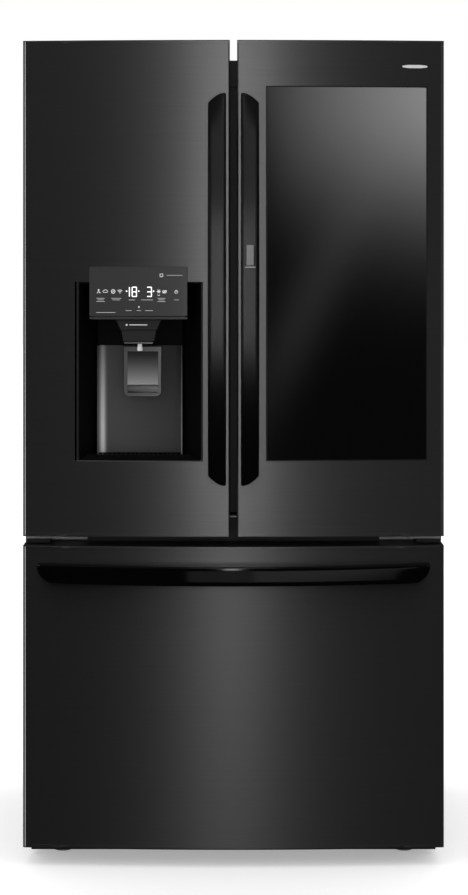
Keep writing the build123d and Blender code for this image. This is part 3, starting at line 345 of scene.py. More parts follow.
def backplate_look():
    """Satin plate in the dispenser, with a painted highlight along its left edge and, more thinly, its right
    one, and painted shade that darkens it towards its top under the spout.
    """
    look = Look("backplate_steel", grey(0.12), 0.42, 0.55)
    recess, tray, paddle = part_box("dispenser_recess"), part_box("dispenser_tray"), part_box("dispenser_paddle")
    middle = (recess[0].x + recess[1].x) / 2
    x, _, z = axes(look)
    height = paddle[1].z - tray[1].z
    down = look.math("DIVIDE", look.math("SUBTRACT", paddle[1].z, z), height)
    # painted highlights on the curled edges, stronger towards the bottom
    left = look.math("MULTIPLY", bell(look, x, middle - 85 * MM, 6 * MM), look.math("ADD", down, 0.25))
    right = look.math("MULTIPLY", bell(look, x, middle + 90 * MM, 2.2 * MM), look.math("ADD", down, 0.2))
    painted_highlight = look.math("ADD", look.math("MULTIPLY", left, 0.75), look.math("MULTIPLY", right, 0.5))
    # painted shade: darker towards the top under the spout, and lighter towards the left
    lean = look.math("MULTIPLY", look.math("SUBTRACT", middle, x), 0.25)
    body = look.math("ADD", look.math("ADD", lean, look.math("MULTIPLY", down, 0.035)), 0.045)
    return paint(look, look.math("ADD", painted_highlight, body))


def paddle_plate_look():
    """Satin plate with painted shade under the spout and a painted highlight towards its lower edge."""
    look = Look("paddle_plate_steel", grey(0.2), 0.42, 0.55)
    low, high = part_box("dispenser_paddle")
    z = axes(look)[2]
    down = look.math("DIVIDE", look.math("SUBTRACT", high.z, z), high.z - low.z)
    # painted light: dark at the top in the spout's shade, pale towards the bottom
    return paint(look, look.math("ADD", look.math("MULTIPLY", look.math("POWER", down, 2.0), 0.6), 0.01))


def door_frame_look():
    """White plastic on the side that faces the food, with dark sides and front."""
    look = Look("door_frame_plastic", grey(0.7), 0.35)
    low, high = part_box("inner_door_frame")
    back = look.math("GREATER_THAN", axes(look)[1], high.y - 0.5 * MM)
    return paint(look, look.math("ADD", look.math("MULTIPLY", back, 0.76), 0.02))


def rubber_look():
    look = Look("gasket_rubber", grey(0.045), 0.62)
    look.tint(look.noise((40, 40, 40)), grey(0.035), grey(0.055))
    look.relief(look.noise((1200, 1200, 1200), 2.0), 0.00003)
    return look


def fins_look():
    look = Look("aluminium_fins", grey(0.62), 0.38, 1.0)
    look.tint(look.noise((200, 8, 8)), grey(0.5), grey(0.7))
    look.relief(look.noise((900, 30, 30)), 0.00005)
    return look


def lamp_look(name, strength, colour=(1, 1, 1)):
    look = Look(name, colour, 0.4, Emission_Strength=strength)
    look.put("Emission Color", (*colour, 1))
    look.tint(look.noise((30, 30, 30)), tuple(channel * 0.94 for channel in colour), colour)
    return look


LOOKS = {
    "black_stainless": steel("black_stainless", 0.24, 0.33),
    "handle_metal": painted("handle_metal", grey(0.0006), 0.20, 60, 0.00001),
    "cabinet_paint": painted("cabinet_paint", grey(0.035), 0.55, 420, 0.00012),
    "rear_steel": sheet_zinc("rear_steel", 0.42, 0.48, 70),
    "chassis_steel": painted("chassis_steel", grey(0.03), 0.5),
    "foam": foam_look(),
    "liner_white": plastic("liner_white", (0.78, 0.79, 0.79), 0.32),
    "trim_black": plastic("trim_black", grey(0.008), 0.42),
    "gasket_rubber": rubber_look(),
    "panel_gloss": plastic("panel_gloss", grey(0.030), 0.22, 2500, 0.000004),
    "tinted_glass": window_look(),
    "clear_glass": glass_look("clear_glass", (0.90, 0.97, 0.95), 0.02),
    "clear_plastic": glass_look("clear_plastic", (0.90, 0.94, 0.96), 0.12),
    "light_lens": plastic("light_lens", (0.7, 0.72, 0.74), 0.25),
    "zinc_steel": sheet_zinc("zinc_steel", 0.55, 0.35, 160),
    "roller_plastic": plastic("roller_plastic", grey(0.10), 0.5),
    "valve_plastic": plastic("valve_plastic", (0.70, 0.71, 0.74), 0.42),
    "fan_plastic": plastic("fan_plastic", grey(0.05), 0.45),
    "aluminium_fins": fins_look(),
}
DRAWER_BAR_LOOK = painted("drawer_bar_metal", grey(0.0006), 0.08, 60, 0.000002)
# the door steel in a darker copy for the drawer front: painted shade, the drawer being the same steel
DRAWER_SHADED_LOOK = steel("drawer_stainless_painted_shade", 0.19, 0.345)
# pale grey plastic painted on as a highlight line along the left outer edges
BRIGHT_EDGE_HIGHLIGHT_LOOK = plastic("painted_bright_edge_highlight", grey(0.38), 0.4)
BRACKET_LOOK = plastic("bracket_grey", grey(0.16), 0.4)
# dim grey painted highlight, along the window door's right edge and the recess sill
DIM_HIGHLIGHT_LOOK = plastic("painted_dim_highlight", grey(0.04), 0.4)
# black plastic of the recess and tray, painted darker than the other black trim as painted shade in the recess
RECESS_BLACK_AND_SHADE_LOOK = plastic("recess_black_and_painted_shade", grey(0.0018), 0.45, 1500, 0.000005, Specular_IOR_Level=0.1)
BACKPLATE_LOOK = backplate_look()
PADDLE_LOOK = steel("paddle_steel", 0.24, 0.34, (900, 900, 6))
PADDLE_PLATE_LOOK = paddle_plate_look()
CHUTE_LOOK = plastic("chute_grey", grey(0.013), 0.4, Specular_IOR_Level=0.35)
NOZZLE_LOOK = plastic("nozzle_grey", grey(0.55), 0.3)
BUTTON_LOOK = steel("button_steel", 0.32, 0.36)
# silver of the real badge, also painted on the button's sill as a highlight
BADGE_AND_SILL_HIGHLIGHT_LOOK = plastic("badge_silver_and_sill_highlight", grey(0.5), 0.35)
DIGIT_LOOK = lamp_look("display_digits", 0.9)
ICON_LOOK = lamp_look("display_icons", 0.35, grey(0.7))
LABEL_LOOK = lamp_look("display_labels", 0.2, grey(0.5))

for node, item in frame["nodes"].items():
    item.data.materials.clear()
    item.data.materials.append(LOOKS[SLOT_OF[node]].material)
frame["nodes"]["dispenser_recess"].data.materials[0] = RECESS_BLACK_AND_SHADE_LOOK.material
frame["nodes"]["drawer_skin"].data.materials[0] = DRAWER_SHADED_LOOK.material
frame["nodes"]["inner_door_frame"].data.materials[0] = door_frame_look().material
for node in ("left_door_insulation", "window_door_insulation", "drawer_insulation"):
    frame["nodes"][node].data.materials[0] = LOOKS["trim_black"].material


# ---------------------------------------------------------------- meshes
SHARP = math.radians(35)  # steeper edges than this are shaded hard


def build(name, parts, look, body, slot, replaces=(), bevel=0.0, segments=2):
    """A piece made of closed parts, each (points, faces), with its sharp edges rounded."""
    bm = bmesh.new()
    for points, faces in parts:
        made = [bm.verts.new(point) for point in points]
        for face in faces:
            bm.faces.new([made[index] for index in face])
    bmesh.ops.recalc_face_normals(bm, faces=bm.faces)
    if bevel:
        edges = [edge for edge in bm.edges if edge.calc_face_angle(0) > math.radians(30)]
        bmesh.ops.bevel(
            bm, geom=edges, offset=bevel, segments=segments, affect="EDGES", profile=0.5, clamp_overlap=True
        )
    mesh = bpy.data.meshes.new(name)
    bm.to_mesh(mesh)
    bm.free()
    mesh.polygons.foreach_set("use_smooth", [True] * len(mesh.polygons))
    mesh.set_sharp_from_angle(angle=SHARP)
    mesh.materials.append(look.material)
    item = bpy.data.objects.new(name, mesh)
    bpy.context.scene.collection.objects.link(item)
    weighted = item.modifiers.new("flat_faces_lead", "WEIGHTED_NORMAL")
    weighted.keep_sharp = True
    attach(item, body)
    if replaces:
        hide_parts(*replaces)
    return item


def skin_of(rings, looped=False):
    """A closed skin through rings of as many points each; looped joins the last ring to the first."""
    count = len(rings[0])
    points = [point for ring in rings for point in ring]
    faces = []
    for index in range(len(rings) if looped else len(rings) - 1):
        here = index * count
        there = (index + 1) % len(rings) * count
        for side in range(count):
            other = (side + 1) % count
            faces.append((here + side, here + other, there + other, there + side))
    if not looped:
        faces.append(tuple(range(count)))
        faces.append(tuple(range(len(points) - count, len(points))))
    return points, faces


def rounded(a0, a1, b0, b1, radii, steps=4):
    """Points of a rectangle with a radius for each corner, from (a0, b0) round by (a1, b0)."""
    corners = ((a0, b0, 180), (a1, b0, 270), (a1, b1, 0), (a0, b1, 90))
    points = []
    for (a, b, start), radius in zip(corners, radii):
        centre_a = a + radius if a == a0 else a - radius
        centre_b = b + radius if b == b0 else b - radius
        for step in range(steps + 1):
            angle = math.radians(start + 90 * step / steps)
            points.append((centre_a + radius * math.cos(angle), centre_b + radius * math.sin(angle)))
    return points


def divided(outline, count, least):
    """The outline with each edge that runs farther across than the least cut into a count of steps."""
    points = []
    for (xa, za), (xb, zb) in zip(outline, outline[1:] + outline[:1]):
        steps = count if abs(xb - xa) > least else 1
        points += [(xa + (xb - xa) * i / steps, za + (zb - za) * i / steps) for i in range(steps)]
    return points


def spread(low, high, count):
    """Evenly spaced values with both ends."""
    return [low + (high - low) * index / count for index in range(count + 1)]


def prism(outline, y0, y1):
    """An outline of (x, z) points carried from y0 to y1."""
    return skin_of([[Vector((x, y, z)) for x, z in outline] for y in (y0, y1)])


def block(x0, x1, y0, y1, z0, z1):
    return prism([(x0, z0), (x1, z0), (x1, z1), (x0, z1)], y0, y1)


def bowed_plate(x0, x1, z0, z1, proud, thick, radius, corner=0.0, plain=None):
    """A plate that follows the bow. Its front edges are rounded, but for a plain low or high one."""
    back_radius = radius * 0.2
    low_radius = back_radius if plain == "low" else radius
    high_radius = back_radius if plain == "high" else radius
    radii = (low_radius, back_radius, back_radius, high_radius)
    rings = []
    turns = (0, 0.4, 0.8, 1.18, math.pi / 2)
    edge = [(radius * (1 - math.cos(a)), radius * (1 - math.sin(a))) for a in turns]
    count = max(2, round((x1 - x0) / (12 * MM)))
    ends = [(x0 + along, inset) for along, inset in edge]
    middle = [(x, 0.0) for x in spread(x0 + radius, x1 - radius, count)[1:-1]]
    for x, inset in ends + middle + [(x1 - along, inset) for along, inset in reversed(edge)]:
        near = min(x - x0, x1 - x)
        cut = corner - math.sqrt(max(0.0, corner**2 - (corner - near) ** 2)) if near < corner else 0.0
        back = front_y(x, proud - thick)
        front = front_y(x, proud) + inset
        outline = rounded(front, back, z0 + cut, z1 - cut, radii, 4)
        rings.append([Vector((x, y, z)) for y, z in outline])
    return skin_of(rings)


def lathe(profile, centre, axis, sides=24):
    """A turned solid. The profile has (radius, along) points and ends on the axis at both ends."""
    up = Vector(axis).normalized()
    across = up.orthogonal().normalized()
    other = up.cross(across)
    rings = []
    for radius, along in profile[1:-1]:
        ring = []
        for side in range(sides):
            angle = 2 * math.pi * side / sides
            outward = across * math.cos(angle) + other * math.sin(angle)
            ring.append(Vector(centre) + up * along + outward * radius)
        rings.append(ring)
    return skin_of(rings)


def screws(name, places, axis, radius, body):
    """Domed screw heads with a washer face, each one closed."""
    parts = []
    for place in places:
        dome = [(0, 0), (radius, 0), (radius, radius * 0.18), (radius * 0.9, radius * 0.4)]
        dome += [(radius * 0.62, radius * 0.58), (radius * 0.34, radius * 0.64)]
        dome += [(radius * 0.28, radius * 0.34), (radius * 0.12, radius * 0.3), (0, radius * 0.3)]
        parts.append(lathe(dome, place, axis))
    build(name, parts, LOOKS["zinc_steel"], body, "zinc_steel")


# ---------------------------------------------------------------- handles
def cut(item, cutter_parts):
    """Takes a closed shape out of a piece's mesh."""
    bm = bmesh.new()
    for points, faces in cutter_parts:
        made = [bm.verts.new(point) for point in points]
        for face in faces:
            bm.faces.new([made[index] for index in face])
    bmesh.ops.recalc_face_normals(bm, faces=bm.faces)
    mesh = bpy.data.meshes.new("cutter")
    bm.to_mesh(mesh)
    bm.free()
    cutter = bpy.data.objects.new("cutter", mesh)
    bpy.context.scene.collection.objects.link(cutter)
    item.modifiers.clear()
    modifier = item.modifiers.new("pocket", "BOOLEAN")
    modifier.operation = "DIFFERENCE"
    modifier.solver = "EXACT"
    modifier.object = cutter
    bpy.context.view_layer.update()
    evaluated = item.evaluated_get(bpy.context.evaluated_depsgraph_get())
    made = bpy.data.meshes.new_from_object(evaluated)
    item.modifiers.clear()
    item.data = made
    made.set_sharp_from_angle(angle=SHARP)
    item.modifiers.new("flat_faces_lead", "WEIGHTED_NORMAL").keep_sharp = True
    bpy.data.objects.remove(cutter)


def arc(value, half, edge, middle):
    """A circular arc through edge at -half and half, and through middle at 0."""
    rise = edge - middle
    radius = (half**2 + rise**2) / (2 * rise)
    return middle + radius - math.sqrt(radius**2 - value**2)


def handle(node, body, look, place, half, across, drop, power, feet, outer, inner, root):
    """An arched bar handle.

    place(along, across, y) gives a point. The far edge is shorter by drop, more and more by power. outer and
    inner are the y of the front and of the back, each at the ends and at the middle. Its two feet reach root.
    """
    tip = 3 * MM
    turns = (0, 0.45, 0.9, math.pi / 2)
    stations = [(half - tip + tip * math.cos(a), tip * (1 - math.sin(a))) for a in turns]
    stations += [(half - value, 0.0) for value in spread(tip, feet, 6)[1:]]
    stations += [(value, 0.0) for value in spread(half - feet, 0.0, 26)[1:]]
    stations += [(-value, inset) for value, inset in reversed(stations[:-1])]
    rings = []
    for along, inset in stations:
        front = arc(along, half, outer[0], outer[1]) + inset
        reach = half - feet
        back = arc(along, reach, inner[0], inner[1]) if abs(along) < reach else root
        outline = rounded(across[0], across[1], front, back, (4 * MM, 5 * MM, 2 * MM, 2 * MM), 4)
        near = max(0.0, 1 - (half - abs(along)) / (feet * 1.8))
        ring = []
        for a, y in divided(outline, 6, 10 * MM):
            share = (a - across[0]) / (across[1] - across[0])
            shift = -math.copysign(drop * share**power * near, along)
            narrow = inset * (1 - 2 * share)
            ring.append(place(along + shift, a + narrow, y))
        rings.append(ring)
    return build(node + "_bar", [skin_of(rings)], look, body, "handle_metal", [node])


BAR_DEPTH = 24 * MM  # from the front of a handle's bar to its back, at the middle


def door_handle(node, body, side):
    low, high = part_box(node)
    middle = (low.z + high.z) / 2
    near, far = sorted((abs(low.x), abs(high.x)))

    def place(along, a, y):
        return Vector((side * a, y, middle + along))

    return handle(
        node, body, LOOKS["handle_metal"], place,
        half=(high.z - low.z) / 2, across=(near, far), drop=20 * MM, power=2.0, feet=46 * MM,
        outer=(low.y + 46 * MM, low.y), inner=(APEX, low.y + BAR_DEPTH), root=APEX + 0.5 * MM,
    )


def drawer_bar():
    low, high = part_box("drawer_handle")
    half = high.x
    feet = 36 * MM

    def place(along, a, y):
        return Vector((along, y, high.z - a))

    handle(
        "drawer_handle", "freezer_drawer", DRAWER_BAR_LOOK, place,
        half=half, across=(0, high.z - low.z), drop=26 * MM, power=2.8, feet=feet,
        outer=(low.y + 52 * MM, low.y), inner=(low.y + 66 * MM, low.y + BAR_DEPTH),
        root=front_y(half - feet) + 1 * MM,
    )


door_handle("left_door_handle", "left_door", -1)
right_bar = door_handle("right_door_handle", "window_door", 1)
drawer_bar()

button_low, button_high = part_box("release_button")
POCKET = 0.3 * MM
pocket = block(
    button_low.x - POCKET, button_high.x + POCKET, button_low.y - 20 * MM, button_high.y + 2.4 * MM,
    button_low.z - 2.5 * MM, button_high.z + POCKET * 3,
)
cut(right_bar, [pocket])


def release_button():
    """Push button that stands a little proud at its middle, with a sloped sill under it in the handle, painted
    pale as a highlight.
    """
    x0, x1, z0, z1 = button_low.x, button_high.x, button_low.z, button_high.z
    front, back = button_low.y, button_high.y
    rings = []
    crown = ((0.0, 1.6 * MM), (0.5 * MM, 0.7 * MM), (1.8 * MM, 0.0), (4 * MM, 0.0))
    for inset, y in [(0.0, back)] + [(inset, front + depth) for inset, depth in crown]:
        outline = rounded(x0 + inset, x1 - inset, z0 + inset, z1 - inset, (2 * MM,) * 4, 3)
        rings.append([Vector((x, y, z)) for x, z in outline])
    build(
        "release_button_cap", [skin_of(rings)], BUTTON_LOOK, "release_button", SLOT_OF["release_button"],
        ["release_button"],
    )
    sill = [
        [Vector((x, y, z)) for y, z in (
            (front + 0.3 * MM, z0 - 2.4 * MM), (back, z0 - 2.4 * MM), (back, z0 - 0.6 * MM),
            (front + 2.2 * MM, z0 - 0.6 * MM),
        )]
        for x in (x0 - 0.2 * MM, x1 + 0.2 * MM)
    ]
    # the sill's pale grey is a painted highlight
    build("button_sill_highlight", [skin_of(sill)], BADGE_AND_SILL_HIGHLIGHT_LOOK, "window_door", "handle_metal")


release_button()

# ---------------------------------------------------------------- dispenser
panel_low, panel_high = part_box("dispenser_panel")
recess_low, recess_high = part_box("dispenser_recess")
chute_low, chute_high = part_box("dispenser_chute")
paddle_low, paddle_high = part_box("dispenser_paddle")
tray_low, tray_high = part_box("dispenser_tray")
DISP_X = (panel_low.x + panel_high.x) / 2
PANEL_PROUD = 6 * MM
LIP = 6.5 * MM  # height of the strip along the panel's lower edge


def dispenser_panel():
    low, high = panel_low, panel_high
    fascia = bowed_plate(low.x, high.x, low.z + LIP, high.z, PANEL_PROUD, 6.2 * MM, 1.6 * MM, 3 * MM)
    lip = bowed_plate(low.x, high.x, low.z, low.z + LIP - 0.9 * MM, PANEL_PROUD, 6.2 * MM, 1.3 * MM, 2 * MM)
    build(
        "dispenser_fascia", [fascia, lip], LOOKS["panel_gloss"], "left_door", "panel_gloss",
        ["dispenser_panel"],
    )
    top = recess_high.z - 4 * MM
    body = block(low.x + 1 * MM, high.x - 1 * MM, APEX + 6 * MM, low.y + 40 * MM, low.z + 1 * MM, top)
    build("dispenser_panel_body", [body], LOOKS["trim_black"], "left_door", "trim_black", bevel=1.5 * MM)


dispenser_panel()


class Display:
    """Marks on the panel, placed by shares of its width and of its height from the top."""

    def __init__(self):
        self.parts = []

    def at(self, across, down):
        width, height = panel_high.x - panel_low.x, panel_high.z - panel_low.z
        return panel_low.x + across * width, panel_high.z - down * height

    def outline(self, points):
        """A thin closed plate on the panel from (x, z) points."""
        front = [Vector((x, front_y(x, PANEL_PROUD + 0.25 * MM), z)) for x, z in points]
        back = [Vector((x, front_y(x, PANEL_PROUD - 0.1 * MM), z)) for x, z in points]
        self.parts.append(skin_of([front, back]))

    def bar(self, x, z, dx, dz, width):
        """A straight stroke from (x, z) along (dx, dz)."""
        length = math.hypot(dx, dz)
        nx, nz = -dz / length * width / 2, dx / length * width / 2
        ends = [(x, z), (x + dx, z + dz)]
        one_side = [(ex + nx, ez + nz) for ex, ez in ends]
        other_side = [(ex - nx, ez - nz) for ex, ez in reversed(ends)]
        self.outline(one_side + other_side)

    def disc(self, x, z, radius, sides=14):
        turns = [2 * math.pi * side / sides for side in range(sides)]
        self.outline([(x + radius * math.cos(a), z + radius * math.sin(a)) for a in turns])

    def arc(self, x, z, radius, start, end, width, steps=8):
        """A curved stroke, drawn as short straight ones."""
        turns = [math.radians(value) for value in spread(start, end, steps)]
        for a, b in zip(turns, turns[1:]):
            x0, z0 = x + radius * math.cos(a), z + radius * math.sin(a)
            self.bar(x0, z0, x + radius * math.cos(b) - x0, z + radius * math.sin(b) - z0, width)

    def digit(self, x, z, width, height, lit, stroke):
        """A seven-segment digit, whose lit segments are named a to g."""
        half = height / 2
        ends = {
            "a": (x, z + height, width, 0), "d": (x, z, width, 0), "g": (x, z + half, width, 0),
            "f": (x, z + half, 0, half), "b": (x + width, z + half, 0, half),
            "e": (x, z, 0, half), "c": (x + width, z, 0, half),
        }
        for name in lit:
            sx, sz, dx, dz = ends[name]
            self.bar(sx, sz, dx, dz, stroke)

    def label(self, across, down, length, lines=1):
        """Short dashes where a caption would be."""
        x, z = self.at(across, down)
        for row in range(lines):
            span = length * (1 - 0.25 * (row % 2))
            self.bar(x - span / 2, z - row * 3.4 * MM, span, 0, 0.8 * MM)


def display():
    digits = Display()
    x, z = digits.at(0.412, 0.565)
    digits.digit(x - 4.0 * MM, z, 3.4 * MM, 20 * MM, "bc", 1.9 * MM)
    digits.digit(x + 5.4 * MM, z, 9.2 * MM, 20 * MM, "abcdefg", 1.8 * MM)
    x, z = digits.at(0.590, 0.565)
    digits.digit(x, z, 9.2 * MM, 20 * MM, "abcdg", 1.8 * MM)
    for across in (0.380, 0.504, 0.655):
        digits.disc(*digits.at(across, 0.465), 1.5 * MM)
    build("display_digits", digits.parts, DIGIT_LOOK, "left_door", "light_lens")

    icons = Display()
    row = 0.47
    x, z = icons.at(0.095, row)  # person-like pin: a dot over an arch
    icons.disc(x, z + 3 * MM, 1.7 * MM)
    icons.arc(x, z - 4 * MM, 3.2 * MM, 0, 180, 1.2 * MM)
    x, z = icons.at(0.163, row)  # cloud
    icons.arc(x - 3 * MM, z, 2.2 * MM, 90, 270, 0.8 * MM)
    icons.arc(x, z + 0.8 * MM, 3 * MM, 20, 160, 0.8 * MM)
    icons.arc(x + 3.2 * MM, z, 2.2 * MM, -90, 90, 0.8 * MM)
    icons.bar(x - 3 * MM, z - 2.2 * MM, 6.2 * MM, 0, 0.8 * MM)
    x, z = icons.at(0.243, row)  # ring with a stroke
    icons.arc(x, z, 4 * MM, 0, 360, 1.2 * MM, 14)
    icons.bar(x - 1.6 * MM, z - 1.4 * MM, 3.4 * MM, 3 * MM, 1.2 * MM)
    x, z = icons.at(0.312, row)  # radio waves
    icons.disc(x, z - 3 * MM, 1.1 * MM)
    icons.arc(x, z - 3 * MM, 3.4 * MM, 40, 140, 1.1 * MM, 6)
    icons.arc(x, z - 3 * MM, 6.2 * MM, 40, 140, 1.1 * MM, 8)
    x, z = icons.at(0.708, row)  # frost star
    for turn in range(3):
        angle = math.radians(60 * turn)
        dx, dz = 4.6 * MM * math.cos(angle), 4.6 * MM * math.sin(angle)
        icons.bar(x - dx, z - dz, 2 * dx, 2 * dz, 1.1 * MM)
    icons.arc(x, z - 6.5 * MM, 2.4 * MM, 200, 340, 1.0 * MM, 5)
    x, z = icons.at(0.766, row)  # tray with cubes
    icons.bar(x - 4 * MM, z - 3 * MM, 8 * MM, 0, 1.1 * MM)
    icons.arc(x - 2 * MM, z, 2 * MM, 0, 360, 1.1 * MM, 10)
    icons.arc(x + 2.4 * MM, z + 0.5 * MM, 1.8 * MM, 0, 360, 1.1 * MM, 10)
    x, z = icons.at(0.886, row)  # padlock
    for dx, dz, ex, ez in ((-3, -3.6, 6, 0), (3, -3.6, 0, 4), (3, 0.4, -6, 0), (-3, 0.4, 0, -4)):
        icons.bar(x + dx * MM, z + dz * MM, ex * MM, ez * MM, 0.8 * MM)
    icons.arc(x, z + 0.6 * MM, 2.2 * MM, 0, 180, 0.8 * MM, 8)
    icons.disc(*icons.at(0.506, 0.765), 1.5 * MM)
    x, z = icons.at(0.735, 0.165)  # square mark in the upper right corner
    for dx, dz, ex, ez in ((-3, -3, 6, 0), (3, -3, 0, 6), (3, 3, -6, 0), (-3, 3, 0, -6)):
        icons.bar(x + dx * MM, z + dz * MM, ex * MM, ez * MM, 0.9 * MM)
    build("display_icons", icons.parts, ICON_LOOK, "left_door", "light_lens")

    labels = Display()
    captions = (
        (0.115, 0.60, 18, 3), (0.275, 0.60, 22, 2), (0.433, 0.63, 13, 1), (0.588, 0.63, 25, 1),
        (0.735, 0.60, 17, 3), (0.888, 0.63, 11, 1), (0.400, 0.832, 13, 1), (0.506, 0.832, 9, 1),
        (0.608, 0.832, 17, 1), (0.868, 0.165, 34, 1),
    )
    for across, down, length, lines in captions:
        labels.label(across, down, length * MM, lines)
    x, z = labels.at(0.068, 0.868)
    labels.bar(x, z, 42 * MM, 0, 0.8 * MM)
    build("display_labels", labels.parts, LABEL_LOOK, "left_door", "light_lens")


display()


def dispenser_chute():
    """Two-step spout housing under the panel, with a light bar and the water nozzle."""
    top, front, back = chute_high.z, chute_low.y, chute_high.y
    upper = [(-50, 0), (50, 0), (40, -24), (-40, -24)]
    lower = [(-38.5, -22), (38.5, -22), (34, -49), (-34, -49)]
    tiers = []
    for outline, y in ((upper, front), (lower, front + 5 * MM)):
        points = [(DISP_X + x * MM, top + z * MM) for x, z in outline]
        tiers.append(prism(points, y, back))
    build(
        "dispenser_spout", tiers, CHUTE_LOOK, "left_door", SLOT_OF["dispenser_chute"],
        ["dispenser_chute"], bevel=2.5 * MM, segments=3,
    )
    bar = block(
        DISP_X - 32 * MM, DISP_X + 31 * MM, front + 8 * MM, back - 4 * MM, top - 53.5 * MM, top - 49.5 * MM,
    )
    build("dispenser_light_bar", [bar], BUTTON_LOOK, "left_door", "light_lens", bevel=0.8 * MM)
    caption = block(
        DISP_X - 20 * MM, DISP_X + 19 * MM, front - 0.3 * MM, front + 1 * MM, top - 13 * MM, top - 11 * MM,
    )
    dot = lathe(
        [(0, 0), (2.2 * MM, 0), (2.2 * MM, 1.2 * MM), (0, 1.2 * MM)],
        (DISP_X - 26 * MM, front + 0.9 * MM, top - 12 * MM), (0, -1, 0),
    )
    build("spout_marks", [caption, dot], LABEL_LOOK, "left_door", "light_lens", bevel=0.3 * MM)
    nozzle = [(0, 0), (4.2, 0), (5.6, 0.6), (6.2, 2), (6.2, 8), (5.0, 10), (5.0, 16), (0, 16)]
    turned = lathe(
        [(r * MM, a * MM) for r, a in nozzle], (DISP_X + 2 * MM, front + 16 * MM, chute_low.z), (0, 0, 1)
    )
    build("water_nozzle", [turned], NOZZLE_LOOK, "left_door", "zinc_steel")


dispenser_chute()


def recess_rim():
    """Thin rim over the joint between the door's skin and the recess, with a sill painted paler as a dim
    highlight line.
    """
    low, high = recess_low, recess_high
    x0, x1 = low.x - 2.6 * MM, high.x + 2.6 * MM
    width, proud, thick, radius = 4 * MM, 0.15 * MM, 5 * MM, 0.3 * MM
    sides = [bowed_plate(x, x + width, low.z, high.z, proud, thick, radius) for x in (x0, x1 - width)]
    build("recess_rim", sides, LOOKS["trim_black"], "left_door", "trim_black")
    sill = bowed_plate(x0, x1, low.z - 1.8 * MM, low.z, proud, thick, radius)
    # the sill's paler grey is a painted highlight
    build("recess_sill", [sill], DIM_HIGHLIGHT_LOOK, "left_door", "trim_black")


recess_rim()


def backplate():
    """Brushed plate on the recess's back wall, whose upright edges curl forwards."""
    flat, curl = 78 * MM, 15 * MM
    y_back = recess_high.y - 5 * MM
    z0, z1 = tray_high.z - 4 * MM, paddle_high.z + 2 * MM
    line = []
    for step in range(9):
        angle = math.pi / 2 * step / 8
        line.append((-flat - curl * math.cos(angle), y_back - curl * (1 - math.sin(angle))))
    line += [(value, y_back) for value in spread(-flat, flat, 8)[1:-1]]
    line += [(-x, y) for x, y in reversed(line[:9])]
    rings = []
    for z, inset in ((z0, 0.0), (z1 - 2 * MM, 0.0), (z1 - 0.6 * MM, 0.4 * MM), (z1, 1.2 * MM)):
        front = [Vector((DISP_X + x, y - 1 * MM + inset, z)) for x, y in line]
        rear = [Vector((DISP_X + x, y + 1.5 * MM, z)) for x, y in reversed(line)]
        rings.append(front + rear)
    build("dispenser_backplate", [skin_of(rings)], BACKPLATE_LOOK, "left_door", "black_stainless")


backplate()


def paddle():
    """Press plate: a U-shaped rim round a dished plate, with a lip under its crease."""
    low, high = paddle_low, paddle_high
    centre = (low.x + high.x) / 2
    half = 41 * MM
    front = low.y + 3 * MM
    z0, z1 = low.z, high.z
    rim_out = rounded(centre - half, centre + half, z0, z1, (12 * MM, 12 * MM, 1 * MM, 1 * MM), 5)
    rim_face = [(centre + (x - centre) * 0.985, z0 + (z - z0) * 0.99 + 0.6 * MM) for x, z in rim_out]
    rim_in = rounded(
        centre - half + 6 * MM, centre + half - 5 * MM, z0 + 6 * MM, z1 - 2 * MM,
        (9 * MM, 9 * MM, 1 * MM, 1 * MM), 5,
    )
    y_face, y_dish, y_back = front, front + 3.5 * MM, front + 8 * MM
    outlines = (
        (rim_out, y_back), (rim_out, y_face + 1.2 * MM), (rim_face, y_face),
        (rim_in, y_face), (rim_in, y_dish),
    )
    rings = [[Vector((x, y, z)) for x, z in outline] for outline, y in outlines]
    build(
        "dispenser_paddle_rim", [skin_of(rings)], PADDLE_LOOK, "dispenser_paddle",
        SLOT_OF["dispenser_paddle"], ["dispenser_paddle"],
    )
    x0, x1 = centre - half + 8 * MM, centre + half - 7 * MM
    plate = (
        (y_dish + 0.5 * MM, z1 - 4 * MM), (y_dish - 1 * MM, z1 - 24 * MM), (y_dish - 2.2 * MM, z0 + 42 * MM),
        (y_dish - 3.0 * MM, z0 + 26 * MM), (y_dish + 1 * MM, z0 + 25.4 * MM), (y_dish + 1 * MM, z1 - 4 * MM),
    )
    lip = (
        (y_dish - 0.6 * MM, z0 + 24.4 * MM), (y_dish - 2.6 * MM, z0 + 16 * MM),
        (y_dish - 1.2 * MM, z0 + 8 * MM), (y_dish + 1 * MM, z0 + 7.4 * MM), (y_dish + 1 * MM, z0 + 24.4 * MM),
    )
    slot = SLOT_OF["dispenser_paddle"]
    for name, section, look in (("plate", plate, PADDLE_PLATE_LOOK), ("lip", lip, PADDLE_LOOK)):
        rows = [[Vector((x, y, z)) for y, z in section] for x in spread(x0, x1, 4)]
        build("dispenser_paddle_" + name, [skin_of(rows)], look, "dispenser_paddle", slot, bevel=0.5 * MM)


paddle()


